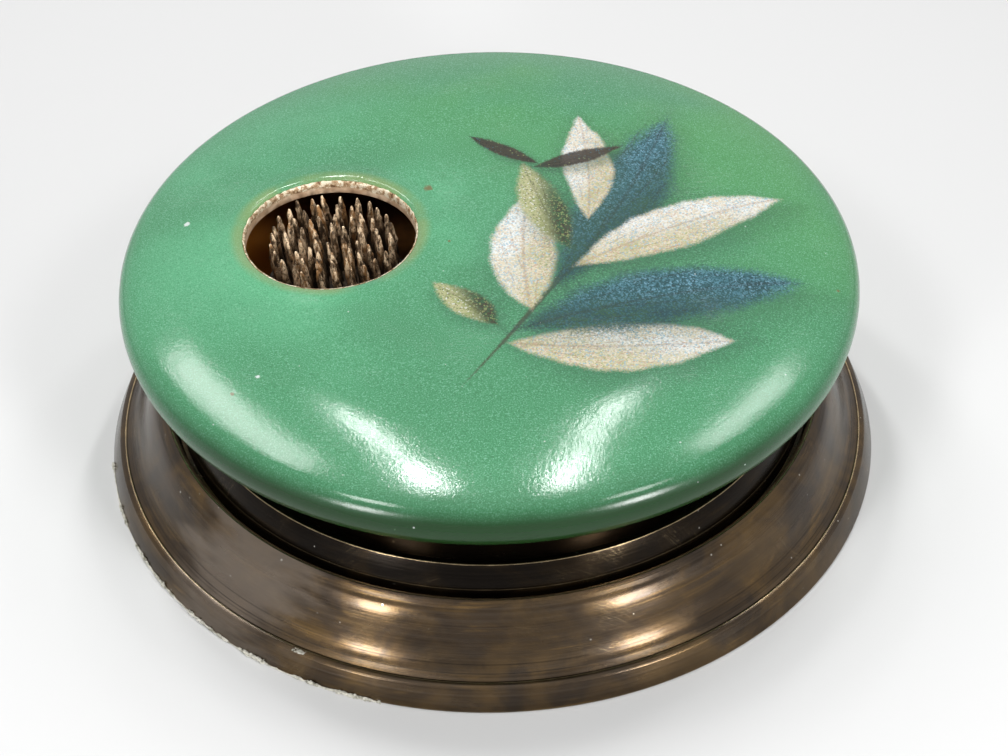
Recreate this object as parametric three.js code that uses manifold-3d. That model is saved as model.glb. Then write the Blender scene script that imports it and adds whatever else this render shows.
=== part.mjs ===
// Ikebana vase: a flat enamelled copper vessel with an off-centre mouth and a pin holder
// inside, standing in a loose seat ring on a turned bronze plinth.
// Millimetres, +Z up, origin on the table under the centre of the plinth.
// The mouth lies to the left and slightly to the back, seen from the front (-Y).

import * as THREE from 'three';
import { mergeVertices } from 'three/addons/utils/BufferGeometryUtils.js';
import Module from 'manifold-3d';

const wasm = await Module();
wasm.setup();

// Fits and facets
const restGap = 0.3; // between two pieces where one rests on or is soldered to the other
const turningGap = 0.6; // radial, so the seat ring turns in the plinth
const footGap = 0.8; // radial, round the vessel's foot in its recess
const plinthSides = 60;
const vesselSides = 60;
const mouthSides = 48;
const kenzanSides = 40;
const needleSides = 6;

// Vessel body
const vesselRadius = 110.5; // at its widest circle
const vesselWall = 1.8; // copper with enamel on both faces
const widestHeight = 22.9; // from the underside up to the widest circle
const sideRadius = 9; // arc of the side, through the widest circle
const sideTopAngle = 70; // degrees from upright where the side meets the edge
const edgeRadius = 6.5; // tighter arc between side and shoulder
const shoulderSlope = 15; // degrees at the outer end of the shoulder
const crownSlope = 1; // degrees where shoulder and crown meet
const crownRadius = 70; // where shoulder and crown meet, seen from above
const bellyTopAngle = 140; // degrees from upright where the side meets the belly
const undersideMargin = 0.8; // flat underside outside the foot ring
const bellySteps = 6;

// Vessel mouth
const mouthOffset = 47.3; // from the vessel's axis to the mouth's
const mouthBearing = 174.9; // degrees about +Z from +X
const mouthBore = 25.6; // radius inside the collar
const collarWall = 1.6;
const collarDepth = 4; // below the crown's surface
const lipRise = 1; // above the crown's surface
const lipRounding = 0.5;

// Vessel foot
const footRadius = 75;
const footWidth = 6;
const footHeight = 11.4;
const footChamfer = 0.8;

// Seat ring
const seatLedgeWidth = 8; // what the foot stands on, inwards of the recess wall
const seatWeb = 3.5; // thickness under the ledge
const recessDepth = 1.6;
const dishWidth = 17.2; // sloping floor from the recess out to the upstand
const upstandTop = 1.5; // width of the bright edge
const upstandSpread = 2.9; // how far the upstand's wall leans out
const upstandHeight = 7.1;
const skirtHeight = 5.3; // plain wall between the ring's base and the upstand
const baseStep = 1.5; // how far the ring's base stands out of its skirt
const baseThickness = 1.7;
const baseWidth = 9; // bearing face on the plinth's shelf
const ledgeHeight = 7.7; // from the ring's bearing face up to the ledge

// Plinth
const lipWall = 1.9; // wall between the ring's bore and the lip
const lipHeight = 26.4; // above the table
const lipFlat = 0.5;
const lipEase = 0.5; // drop of the flat's inner end
const lipChamfer = 1.6;
const shelfBelowLip = 7.4;
const shelfWidth = 8.6;
const shelfThickness = 3.5;
const ogeeWidth = 13.4;
const ogeeSteps = 9;
const ogeeCurl = 0.6; // 0 is a straight cone, 1 is flat at both ends
const coveWidth = 0.6;
const coveDrop = 0.7;
const ridgeWidth = 1.7;
const ridgeCrown = 0.3;
const bevelWidth = 2.9;
const bevelHeight = 6.9;
const rimFootWidth = 7;
const rebateWidth = 5;
const hollowLean = 3.5;
const hollowCorner = 1.5;
const hollowReach = 4.5;

// Underside
const feltThickness = 1.6;
const feltProud = 0.4; // how far the felt stands out below the metal
const floorThickness = 1.5;

// Pin holder
const kenzanRadius = 22.5;
const kenzanHeight = 11.5;
const kenzanChamfer = 1;
const sliceThickness = 1.5; // top of the casting, which holds the needles
const sliceInset = 0.8;
const needleLength = 18.5;
const needleRadius = 1.25;
const needleShoulder = 0.9; // radius where the point begins
const needlePoint = 5.5;
const needleTip = 0.4; // radius of the blunt tip
const needleRings = 4;
const needleRingSpacing = 4.55;
const needlePitch = 4.4; // along a ring
const needleRoot = 0.8; // depth that a needle is cast in
const needleLean = 5; // degrees towards -X: the bed of needles is bent over
const kenzanRight = 1.4; // where it lies, from the mouth's axis
const kenzanBack = 1.9;

// Levels, from the table up
const floorBottom = feltThickness + restGap;
const floorTop = floorBottom + floorThickness;
const rebateTop = floorTop + restGap;
const ridgeHeight = feltProud + bevelHeight;
const shelfTop = lipHeight - shelfBelowLip;
const shelfBottom = shelfTop - shelfThickness;
const seatBottom = shelfTop + restGap;
const ledgeTop = seatBottom + ledgeHeight;
const skirtTop = seatBottom + baseThickness + skirtHeight;
const upstandLevel = skirtTop + upstandHeight;
const footBottom = ledgeTop + restGap;
const footTop = footBottom + footHeight;
const vesselBottom = footTop + restGap;
const widestLevel = vesselBottom + widestHeight;
const kenzanBottom = vesselBottom + vesselWall + restGap;
const sliceBottom = kenzanBottom + kenzanHeight + restGap;

// Radii, from the foot outwards
const recessRadius = footRadius + footGap;
const upstandInner = recessRadius + dishWidth;
const upstandOuter = upstandInner + upstandTop;
const skirtRadius = upstandOuter + upstandSpread;
const baseRadius = skirtRadius + baseStep;
const plinthBore = baseRadius + turningGap;
const lipRadius = plinthBore + lipWall;
const ogeeRadius = lipRadius + ogeeWidth;
const ridgeRadius = ogeeRadius + coveWidth + ridgeWidth;
const plinthRadius = ridgeRadius + bevelWidth;
const rebateRadius = plinthRadius - rimFootWidth;
const floorRadius = rebateRadius - restGap;
const collarRadius = mouthBore + collarWall;

const radians = THREE.MathUtils.degToRad;

function point(radius, height) {
  return new THREE.Vector2(radius, height);
}

// The point of an arc whose outward normal stands at an angle, in radians from upright.
function onArc(centre, radius, angle) {
  return point(centre.x + radius * Math.sin(angle), centre.y + radius * Math.cos(angle));
}

function arc(centre, radius, from, to, steps) {
  const points = [];
  for (let i = 0; i <= steps; i += 1) {
    points.push(onArc(centre, radius, from + ((to - from) * i) / steps));
  }
  return points;
}

// The centre of an arc that leaves a point whose normal stands at an angle.
function arcCentre(from, radius, angle) {
  return point(from.x - radius * Math.sin(angle), from.y - radius * Math.cos(angle));
}

// A solid of revolution about +Z. The profile closes on itself or lies on the axis at both ends.
function turned(profile, sides) {
  const outline = THREE.ShapeUtils.area(profile) > 0 ? profile : [...profile].reverse();
  const geometry = new THREE.LatheGeometry(outline, sides);
  geometry.rotateX(Math.PI / 2);
  return geometry;
}

// A ring of revolution: its outline is closed here.
function turnedRing(outline, sides) {
  return turned([...outline, outline[0].clone()], sides);
}

function disc(radius, bottom, top, sides) {
  return turned([point(0, bottom), point(radius, bottom), point(radius, top), point(0, top)], sides);
}

// From three.js geometry to a manifold-3d solid and back.
function toSolid(geometry) {
  const plain = geometry.clone();
  plain.deleteAttribute('normal');
  plain.deleteAttribute('uv');
  const merged = mergeVertices(plain);
  return new wasm.Manifold(new wasm.Mesh({
    numProp: 3,
    vertProperties: merged.attributes.position.array,
    triVerts: new Uint32Array(merged.index.array),
  }));
}

function toGeometry(solid) {
  const mesh = solid.getMesh();
  const geometry = new THREE.BufferGeometry();
  geometry.setAttribute('position', new THREE.BufferAttribute(mesh.vertProperties, mesh.numProp));
  geometry.setIndex(new THREE.BufferAttribute(mesh.triVerts, 1));
  geometry.computeVertexNormals();
  return geometry;
}

function piece(name, geometry, colour, roughness, metalness) {
  const material = new THREE.MeshStandardMaterial({ color: colour, roughness, metalness });
  const mesh = new THREE.Mesh(geometry, material);
  mesh.name = name;
  return mesh;
}

// The arcs of the vessel's outside, worked out from the widest circle up and down.
const slope = {
  sideTop: radians(sideTopAngle),
  shoulder: radians(shoulderSlope),
  crown: radians(crownSlope),
  bellyTop: radians(bellyTopAngle),
};
const sideCentre = point(vesselRadius - sideRadius, widestLevel);
const sideTop = onArc(sideCentre, sideRadius, slope.sideTop);
const edgeCentre = arcCentre(sideTop, edgeRadius, slope.sideTop);
const edgeTop = onArc(edgeCentre, edgeRadius, slope.shoulder);
const shoulderRadius = (edgeTop.x - crownRadius) / (Math.sin(slope.shoulder) - Math.sin(slope.crown));
const shoulderCentre = arcCentre(edgeTop, shoulderRadius, slope.shoulder);
const shoulderTop = onArc(shoulderCentre, shoulderRadius, slope.crown);
const crownBend = crownRadius / Math.sin(slope.crown);
const crownCentre = point(0, shoulderTop.y - crownBend * Math.cos(slope.crown));

// One face of the upper shell, from its cut edge up to the axis, a wall's share inside the outline.
function upperFace(inset) {
  return [
    ...arc(sideCentre, sideRadius - inset, Math.PI / 2, slope.sideTop, 2),
    ...arc(edgeCentre, edgeRadius - inset, slope.sideTop, slope.shoulder, 5).slice(1),
    ...arc(shoulderCentre, shoulderRadius - inset, slope.shoulder, slope.crown, 6).slice(1),
    ...arc(crownCentre, crownBend - inset, slope.crown, 0, 3).slice(1),
  ];
}

// The belly leaves the flat underside level and meets the side along the side's own slope.
function bellyFace(inset) {
  const foot = point(footRadius + undersideMargin, vesselBottom + inset);
  const side = onArc(sideCentre, sideRadius - inset, slope.bellyTop);
  const corner = point(side.x + (side.y - foot.y) / Math.tan(slope.bellyTop), foot.y);
  return new THREE.QuadraticBezierCurve(foot, corner, side).getPoints(bellySteps);
}

// One face of the lower shell, from the axis out to its cut edge just under the upper shell's.
function lowerFace(inset) {
  const side = sideRadius - inset;
  const cutAngle = Math.PI / 2 + Math.asin(restGap / side);
  return [
    point(0, vesselBottom + inset),
    ...bellyFace(inset),
    ...arc(sideCentre, side, slope.bellyTop, cutAngle, 5).slice(1),
  ];
}

// Height and slope of the vessel's top at a distance from its axis.
function crownAt(radius) {
  const onCrown = radius <= crownRadius;
  const centre = onCrown ? crownCentre : shoulderCentre;
  const bend = onCrown ? crownBend : shoulderRadius;
  const angle = Math.asin((radius - centre.x) / bend);
  return { height: centre.y + bend * Math.cos(angle), angle };
}

// The mouth's own frame: on the crown's surface, +Z along the surface's normal.
function mouthFrame() {
  const seat = crownAt(mouthOffset);
  const frame = new THREE.Group();
  frame.rotation.set(0, seat.angle, radians(mouthBearing), 'ZYX');
  frame.position.set(
    mouthOffset * Math.cos(radians(mouthBearing)),
    mouthOffset * Math.sin(radians(mouthBearing)),
    seat.height,
  );
  frame.updateMatrix();
  return frame;
}

function makeVesselTop() {
  const shell = toSolid(turned([...upperFace(0), ...upperFace(vesselWall).reverse(), upperFace(0)[0]], vesselSides));
  const reach = collarDepth + lipRise + vesselWall;
  const drill = disc(collarRadius + restGap, -reach, reach, mouthSides);
  drill.applyMatrix4(mouthFrame().matrix);
  return piece('vessel_top', toGeometry(shell.subtract(toSolid(drill))), 0x4c8a63, 0.25, 0);
}

function makeVesselBottom() {
  const profile = [...lowerFace(0), ...lowerFace(vesselWall).reverse()];
  return piece('vessel_bottom', turned(profile, vesselSides), 0x447d5a, 0.3, 0);
}

function makeMouthCollar() {
  const rise = lipRise - lipRounding;
  const middle = mouthBore + collarWall / 2;
  const collar = turnedRing([
    point(mouthBore, -collarDepth),
    point(collarRadius, -collarDepth),
    point(collarRadius, rise),
    point(middle + lipRounding / 2, lipRise),
    point(middle - lipRounding / 2, lipRise),
    point(mouthBore, rise),
  ], mouthSides);
  return piece('mouth_collar', collar, 0xb8a27c, 0.6, 0.3);
}

function makeFootRing() {
  const ring = turnedRing([
    point(footRadius - footWidth, footBottom),
    point(footRadius - footChamfer, footBottom),
    point(footRadius, footBottom + footChamfer),
    point(footRadius, footTop),
    point(footRadius - footWidth, footTop),
  ], vesselSides);
  return piece('foot_ring', ring, 0x6b4a2e, 0.5, 0.9);
}

function makeSeatRing() {
  const ring = turnedRing([
    point(baseRadius - baseWidth, seatBottom),
    point(baseRadius, seatBottom),
    point(baseRadius, seatBottom + baseThickness),
    point(skirtRadius, seatBottom + baseThickness),
    point(skirtRadius, skirtTop),
    point(upstandOuter, upstandLevel),
    point(upstandInner, upstandLevel),
    point(recessRadius, ledgeTop + recessDepth),
    point(recessRadius, ledgeTop),
    point(recessRadius - seatLedgeWidth, ledgeTop),
    point(recessRadius - seatLedgeWidth, ledgeTop - seatWeb),
    point(baseRadius - baseWidth, ledgeTop - seatWeb),
  ], plinthSides);
  return piece('seat_ring', ring, 0x4a3423, 0.4, 0.9);
}

// The plinth's ogee, from the cove up to the lip: flat, steep in the middle, flat again.
function ogee() {
  const foot = ridgeHeight - coveDrop;
  const points = [];
  for (let i = 0; i <= ogeeSteps; i += 1) {
    const share = i / ogeeSteps;
    const rise = share - (ogeeCurl * Math.sin(2 * Math.PI * share)) / (2 * Math.PI);
    points.push(point(ogeeRadius - ogeeWidth * share, foot + (lipHeight - foot) * rise));
  }
  return points;
}

function makePlinthFlange() {
  const hollow = rebateRadius - rebateWidth;
  const flange = turnedRing([
    point(rebateRadius, feltProud),
    point(plinthRadius, feltProud),
    point(ridgeRadius, ridgeHeight),
    point(ridgeRadius - ridgeWidth / 2, ridgeHeight + ridgeCrown),
    point(ridgeRadius - ridgeWidth, ridgeHeight),
    ...ogee(),
    point(lipRadius - lipFlat, lipHeight),
    point(plinthBore + lipFlat, lipHeight - lipEase),
    point(plinthBore, lipHeight - lipChamfer),
    point(plinthBore, shelfTop),
    point(plinthBore - shelfWidth, shelfTop),
    point(plinthBore - shelfWidth, shelfBottom),
    point(hollow - hollowLean - hollowReach, shelfBottom),
    point(hollow - hollowLean, shelfBottom - hollowCorner),
    point(hollow, rebateTop),
    point(rebateRadius, rebateTop),
  ], plinthSides);
  return piece('plinth_flange', flange, 0x5a3f28, 0.35, 0.9);
}

function makePlinthFloor() {
  return piece('plinth_floor', disc(floorRadius, floorBottom, floorTop, plinthSides), 0x6e5236, 0.5, 0.9);
}

function makeFeltPad() {
  return piece('felt_pad', disc(floorRadius, 0, feltThickness, plinthSides), 0x2c3a30, 0.95, 0);
}

function makeKenzanBase() {
  const base = turned([
    point(0, 0),
    point(kenzanRadius - kenzanChamfer, 0),
    point(kenzanRadius, kenzanChamfer),
    point(kenzanRadius, kenzanHeight - kenzanChamfer),
    point(kenzanRadius - kenzanChamfer, kenzanHeight),
    point(0, kenzanHeight),
  ], kenzanSides);
  base.translate(0, 0, kenzanBottom);
  return piece('kenzan_base', base, 0x55524c, 0.6, 0.7);
}

// One needle, upright, its cast-in root below the casting's top face at z 0.
function needleSolid() {
  return toSolid(turned([
    point(0, -needleRoot),
    point(needleRadius, -needleRoot),
    point(needleShoulder, needleLength - needlePoint),
    point(needleTip, needleLength),
    point(0, needleLength),
  ], needleSides));
}

// Where the needles stand: one in the middle, then even rings.
function needlePlaces() {
  const places = [point(0, 0)];
  for (let ring = 1; ring <= needleRings; ring += 1) {
    const radius = ring * needleRingSpacing;
    const count = Math.round((2 * Math.PI * radius) / needlePitch);
    for (let i = 0; i < count; i += 1) {
      const angle = (2 * Math.PI * (i + ring / 2)) / count;
      places.push(point(radius * Math.cos(angle), radius * Math.sin(angle)));
    }
  }
  return places;
}

function makeKenzanNeedles() {
  let bed = toSolid(disc(kenzanRadius - kenzanChamfer - sliceInset, 0, sliceThickness, kenzanSides));
  const needle = needleSolid().rotate([0, -needleLean, 0]);
  for (const place of needlePlaces()) {
    bed = bed.add(needle.translate([place.x, place.y, sliceThickness]));
  }
  const geometry = toGeometry(bed);
  geometry.translate(0, 0, sliceBottom);
  return piece('kenzan_needles', geometry, 0x9a8a6c, 0.45, 0.8);
}

const vase = new THREE.Group();
vase.add(makeFeltPad(), makePlinthFloor(), makePlinthFlange(), makeSeatRing());
vase.add(makeFootRing(), makeVesselBottom(), makeVesselTop());

const mouth = mouthFrame();
mouth.add(makeMouthCollar());
vase.add(mouth);

// The pin holder lies loose, a little to the right and to the back of the mouth's axis.
const kenzan = new THREE.Group();
kenzan.position.set(mouth.position.x + kenzanRight, mouth.position.y + kenzanBack, 0);
kenzan.add(makeKenzanBase(), makeKenzanNeedles());
vase.add(kenzan);

export default vase;
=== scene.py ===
# %% [markdown]
# # A flat flower vessel in green enamel on a turned bronze plinth
#
# This lesson dresses a measured frame of the vase. The frame holds the true sizes, so every new piece
# is built in metres where the frame says its neighbour is, and nothing is fitted afterwards. Most of
# the vase was made on a lathe, so most pieces are an outline spun about an axis. The enamelled shell
# is the exception: its mouth lies off the axis, so it grows from the mouth outwards, ring by ring.

import math
import random

import bmesh
import bpy
from mathutils import Matrix, Vector, noise


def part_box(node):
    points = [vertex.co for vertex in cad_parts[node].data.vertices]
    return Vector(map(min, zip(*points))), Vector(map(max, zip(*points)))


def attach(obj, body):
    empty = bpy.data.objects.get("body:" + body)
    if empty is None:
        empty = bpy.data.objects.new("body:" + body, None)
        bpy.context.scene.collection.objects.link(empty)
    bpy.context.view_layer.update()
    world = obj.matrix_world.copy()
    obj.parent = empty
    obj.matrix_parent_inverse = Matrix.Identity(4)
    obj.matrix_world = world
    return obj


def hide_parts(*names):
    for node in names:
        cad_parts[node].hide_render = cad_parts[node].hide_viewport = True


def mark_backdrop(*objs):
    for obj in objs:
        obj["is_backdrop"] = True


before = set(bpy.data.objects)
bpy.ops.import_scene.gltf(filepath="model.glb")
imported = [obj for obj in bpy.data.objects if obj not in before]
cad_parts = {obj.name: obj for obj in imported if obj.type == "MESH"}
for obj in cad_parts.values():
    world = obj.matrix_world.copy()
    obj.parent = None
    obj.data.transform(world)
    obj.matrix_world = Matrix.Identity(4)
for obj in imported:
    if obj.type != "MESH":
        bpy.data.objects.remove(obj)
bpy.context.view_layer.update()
MM = 0.001

# %% [markdown]
# ## The camera
#
# The vase was photographed from above the table's edge with a long lens: the lens looks down by about
# 42 degrees and the picture is turned by one degree. The camera stands where the plinth's circles,
# the vessel's outline and the mouth all fall on their places in the picture.

# %% Make the camera
CAMERA_PLACE = Vector((0, -512.9, 480.8)) * MM
CAMERA_YAW = -0.0077
CAMERA_PITCH = -0.7342
CAMERA_ROLL = 0.017
CAMERA_LENS = 78.57
CAMERA_SENSOR = 36


def make_camera():
    """Looks along +Y first, then turns about Y, X and Z in that order."""
    lens = bpy.data.cameras.new("camera")
    lens.lens = CAMERA_LENS
    lens.sensor_width = CAMERA_SENSOR
    lens.clip_start = 10 * MM
    camera = bpy.data.objects.new("camera", lens)
    bpy.context.scene.collection.objects.link(camera)
    turn = Matrix.Rotation(CAMERA_YAW, 4, "Z") @ Matrix.Rotation(CAMERA_PITCH, 4, "X")
    turn = turn @ Matrix.Rotation(CAMERA_ROLL, 4, "Y") @ Matrix.Rotation(math.pi / 2, 4, "X")
    camera.matrix_world = Matrix.Translation(CAMERA_PLACE) @ turn
    bpy.context.scene.camera = camera
    return camera


camera = make_camera()
print("camera at", [round(c, 3) for c in camera.location], "lens", CAMERA_LENS)

# %% [markdown]
# ## Building materials from nodes
#
# A material is a small tree of nodes. A few helpers keep the trees short to write: they add a node,
# fill its sockets, do arithmetic, read a distance and mix two colours. A socket that is given another
# socket is linked to it, and a socket that is given a number or a colour keeps that value.

# %% Helpers for node trees
def fill(tree, socket, value):
    """Links a socket to the socket it is given, or else writes the value into it."""
    if isinstance(value, bpy.types.NodeSocket):
        tree.links.new(value, socket)
    else:
        socket.default_value = value


def add(tree, kind, sockets=None, **settings):
    """Adds a node, writes its own settings, then links or fills the named or numbered sockets."""
    made = tree.nodes.new(kind)
    for name, value in settings.items():
        setattr(made, name, value)
    for name, value in (sockets or {}).items():
        fill(tree, made.inputs[name], value)
    return made


def calc(tree, operation, *values):
    """One step of arithmetic."""
    return add(tree, "ShaderNodeMath", dict(enumerate(values)), operation=operation).outputs[0]


def times(tree, first, second):
    """The product of two values."""
    return calc(tree, "MULTIPLY", first, second)


def parts_of(tree, vector):
    """The X, Y and Z of a place."""
    return add(tree, "ShaderNodeSeparateXYZ", {0: vector}).outputs


def distance(tree, first, second):
    """How far two places are apart."""
    return add(tree, "ShaderNodeVectorMath", {0: first, 1: second}, operation="DISTANCE").outputs["Value"]


def band(tree, value, start, end, low=0.0, high=1.0):
    """Goes smoothly from low to high as the value goes from start to end."""
    sockets = {"Value": value, "From Min": start, "From Max": end, "To Min": low, "To Max": high}
    made = add(tree, "ShaderNodeMapRange", sockets, interpolation_type="SMOOTHSTEP")
    return made.outputs["Result"]


def colour(*rgb):
    """An opaque colour."""
    return (*rgb, 1.0)


def mix(tree, factor, first, second):
    """Goes from the first colour to the second as the factor goes from 0 to 1."""
    made = add(tree, "ShaderNodeMix", data_type="RGBA", clamp_factor=True)
    for index, value in ((0, factor), (6, first), (7, second)):
        fill(tree, made.inputs[index], value)
    return made.outputs[2]


def speckle(tree, vector, scale, detail=2.0, roughness=0.5):
    """Cloudy noise from 0 to 1. The scale is in waves a metre."""
    sockets = {"Vector": vector, "Scale": scale, "Detail": detail, "Roughness": roughness}
    return add(tree, "ShaderNodeTexNoise", sockets).outputs["Fac"]


def wander(tree, vector, scale, detail, reach):
    """Cloudy noise about zero. It strays by up to half the reach to each side."""
    return times(tree, calc(tree, "SUBTRACT", speckle(tree, vector, scale, detail), 0.5), reach)


# %% Helpers for groups and materials
def group_of(name, inputs, outputs):
    """A node group with named sockets. Inputs are (name, type, first value); outputs are (name, type)."""
    tree = bpy.data.node_groups.new(name, "ShaderNodeTree")
    for label, kind, value in inputs:
        socket = tree.interface.new_socket(label, in_out="INPUT", socket_type="NodeSocket" + kind)
        if value is not None:
            socket.default_value = value
    for label, kind in outputs:
        tree.interface.new_socket(label, in_out="OUTPUT", socket_type="NodeSocket" + kind)
    return tree, tree.nodes.new("NodeGroupInput").outputs, tree.nodes.new("NodeGroupOutput").inputs


def place(tree, group, **sockets):
    """Places a node group in a tree. An underscore in a socket's name stands for a space."""
    made = tree.nodes.new("ShaderNodeGroup")
    made.node_tree = group
    for name, value in sockets.items():
        fill(tree, made.inputs[name.replace("_", " ")], value)
    return made.outputs


def tell(group):
    """Prints which values a group takes."""
    taken = [item.name for item in group.interface.items_tree if item.in_out == "INPUT"]
    print("group", group.name, "takes", ", ".join(taken))


def material_of(name, **uniform):
    """A material with one Principled shader. Values that are the same all over go straight onto it."""
    made = bpy.data.materials.new(name)
    made.use_nodes = True
    shader = made.node_tree.nodes["Principled BSDF"]
    for label, value in uniform.items():
        shader.inputs[label.replace("_", " ")].default_value = value
    where = made.node_tree.nodes.new("ShaderNodeTexCoord").outputs["Object"]
    return made, made.node_tree, shader, where


def feed(tree, shader, **sockets):
    """Links what changes over the surface to the shader."""
    for label, value in sockets.items():
        tree.links.new(value, shader.inputs[label.replace("_", " ")])


def relief(tree, height, depth, under=None):
    """Turns a height from 0 to 1 into a normal, for hills of that depth. Reliefs can be stacked."""
    sockets = {"Height": height, "Distance": depth, "Strength": 1.0}
    if under is not None:
        sockets["Normal"] = under
    return add(tree, "ShaderNodeBump", sockets).outputs["Normal"]


print("node helpers ready")

# %% [markdown]
# ## Shared effects
#
# Several finishes need the same effects, so each effect is a node group that is built once. All of
# them read the place on the piece in metres, so a pattern keeps its true scale on every piece.
#
# - *fine grain* is the sugar-like surface of fired enamel and of a casting.
# - *turning lines* are the fine rings that a lathe tool leaves around an axis. The group also gives
#   a place that is squeezed along the ring, which draws stains out in the turning direction.
# - *patches* are the cloudy stains of a patina.
# - *worn and highlit ring* is a bright line along an edge: golden metal where hands and cloths wear
#   the patina off, and on sharp edges also a painted highlight line.
# - *scratches* are long thin lines in many directions.
# - *specks* are small separate dots, such as dust, pits or spots.

# %% Fine grain
def make_fine_grain():
    tree, given, result = group_of(
        "fine grain",
        [("Vector", "Vector", None), ("Size", "Float", 0.4 * MM)],
        [("Value", "Float")],
    )
    scale = calc(tree, "DIVIDE", 1.0, given["Size"])
    fine = speckle(tree, given["Vector"], scale, 2.0, 0.6)
    tree.links.new(fine, result["Value"])
    return tree


GRAIN = make_fine_grain()
tell(GRAIN)

# %% Turning lines
# Every ring is read as one of this radius, so a stain on a wider ring is drawn out along it.
RINGWISE_RADIUS = 36 * MM


def make_turning_lines():
    tree, given, result = group_of(
        "turning lines",
        [("Vector", "Vector", None), ("Spacing", "Float", 0.5 * MM), ("Waviness", "Float", 0.1)],
        [("Lines", "Float"), ("Radius", "Float"), ("Height", "Float"), ("Ringwise", "Vector")],
    )
    split = parts_of(tree, given["Vector"])
    flat = add(tree, "ShaderNodeCombineXYZ", {"X": split["X"], "Y": split["Y"]}).outputs[0]
    radius = add(tree, "ShaderNodeVectorMath", {0: flat}, operation="LENGTH").outputs["Value"]
    around = add(tree, "ShaderNodeVectorMath", {0: flat}, operation="NORMALIZE").outputs[0]
    drawn = {0: around, "Scale": RINGWISE_RADIUS}
    drawn = add(tree, "ShaderNodeVectorMath", drawn, operation="SCALE").outputs[0]
    wavy = {0: around, "Scale": given["Waviness"]}
    wavy = add(tree, "ShaderNodeVectorMath", wavy, operation="SCALE").outputs[0]
    across = calc(tree, "SUBTRACT", radius, split["Z"])
    upright = add(tree, "ShaderNodeCombineXYZ", {"Z": across}).outputs[0]
    ringwise = add(tree, "ShaderNodeVectorMath", {0: drawn, 1: upright}).outputs[0]
    tree.links.new(ringwise, result["Ringwise"])
    across = calc(tree, "DIVIDE", across, given["Spacing"])
    strip = add(tree, "ShaderNodeCombineXYZ", {"X": across}).outputs[0]
    strip = add(tree, "ShaderNodeVectorMath", {0: strip, 1: wavy}).outputs[0]
    tree.links.new(speckle(tree, strip, 1.0, 3.0, 0.7), result["Lines"])
    tree.links.new(radius, result["Radius"])
    tree.links.new(split["Z"], result["Height"])
    return tree


TURNING = make_turning_lines()
tell(TURNING)

# %% Patches
def make_patches():
    tree, given, result = group_of(
        "patches",
        [
            ("Vector", "Vector", None), ("Size", "Float", 20 * MM), ("Cover", "Float", 0.5),
            ("Edge", "Float", 0.1),
        ],
        [("Mask", "Float")],
    )
    scale = calc(tree, "DIVIDE", 1.0, given["Size"])
    cloud = add(
        tree, "ShaderNodeTexNoise",
        {"Vector": given["Vector"], "Scale": scale, "Detail": 5.0, "Roughness": 0.6, "Distortion": 0.6},
    ).outputs["Fac"]
    level = calc(tree, "SUBTRACT", 1.0, given["Cover"])
    start = calc(tree, "SUBTRACT", level, given["Edge"])
    end = calc(tree, "ADD", level, given["Edge"])
    tree.links.new(band(tree, cloud, start, end), result["Mask"])
    return tree


PATCHES = make_patches()
tell(PATCHES)

# %% Worn and highlit ring
def make_worn_and_highlit_ring():
    tree, given, result = group_of(
        "worn and highlit ring",
        [
            ("Vector", "Vector", None), ("Across", "Float", 0.0), ("Edge", "Float", 0.1),
            ("Width", "Float", 1 * MM), ("Raggedness", "Float", 0.5),
        ],
        [("Mask", "Float")],
    )
    away = calc(tree, "ABSOLUTE", calc(tree, "SUBTRACT", given["Across"], given["Edge"]))
    ragged = speckle(tree, given["Vector"], 260.0, 4.0, 0.7)
    ragged = times(tree, calc(tree, "SUBTRACT", ragged, 0.5), given["Raggedness"])
    share = calc(tree, "ADD", calc(tree, "DIVIDE", away, given["Width"]), times(tree, ragged, 4.0))
    tree.links.new(band(tree, share, 1.0, 0.0), result["Mask"])
    return tree


WORN_AND_HIGHLIT_RING = make_worn_and_highlit_ring()
tell(WORN_AND_HIGHLIT_RING)

# %% Scratches
def make_scratches():
    """Long thin cells of noise, in three directions, thinned out by a cloud."""
    tree, given, result = group_of(
        "scratches",
        [("Vector", "Vector", None), ("Length", "Float", 12 * MM), ("Amount", "Float", 0.5)],
        [("Mask", "Float")],
    )
    lines = []
    for angle, seed in ((0.5, 3.0), (-0.9, 11.0), (1.7, 23.0)):
        turned_place = add(
            tree, "ShaderNodeMapping",
            {"Vector": given["Vector"], "Rotation": (0, 0, angle), "Scale": (1.0, 26.0, 1.0)},
        ).outputs[0]
        scale = calc(tree, "DIVIDE", 0.8, given["Length"])
        wave = add(
            tree, "ShaderNodeTexNoise",
            {"Vector": turned_place, "W": seed, "Scale": scale, "Detail": 1.0, "Distortion": 0.3},
            noise_dimensions="4D",
        ).outputs["Fac"]
        thin = calc(tree, "ABSOLUTE", calc(tree, "SUBTRACT", wave, 0.5))
        lines.append(band(tree, thin, 0.006, 0.0))
    every = calc(tree, "MAXIMUM", calc(tree, "MAXIMUM", lines[0], lines[1]), lines[2])
    few = band(tree, speckle(tree, given["Vector"], 55.0, 2.0), 0.52, 0.72)
    shown = times(tree, times(tree, every, few), given["Amount"])
    tree.links.new(shown, result["Mask"])
    return tree


SCRATCHES = make_scratches()
tell(SCRATCHES)

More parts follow.
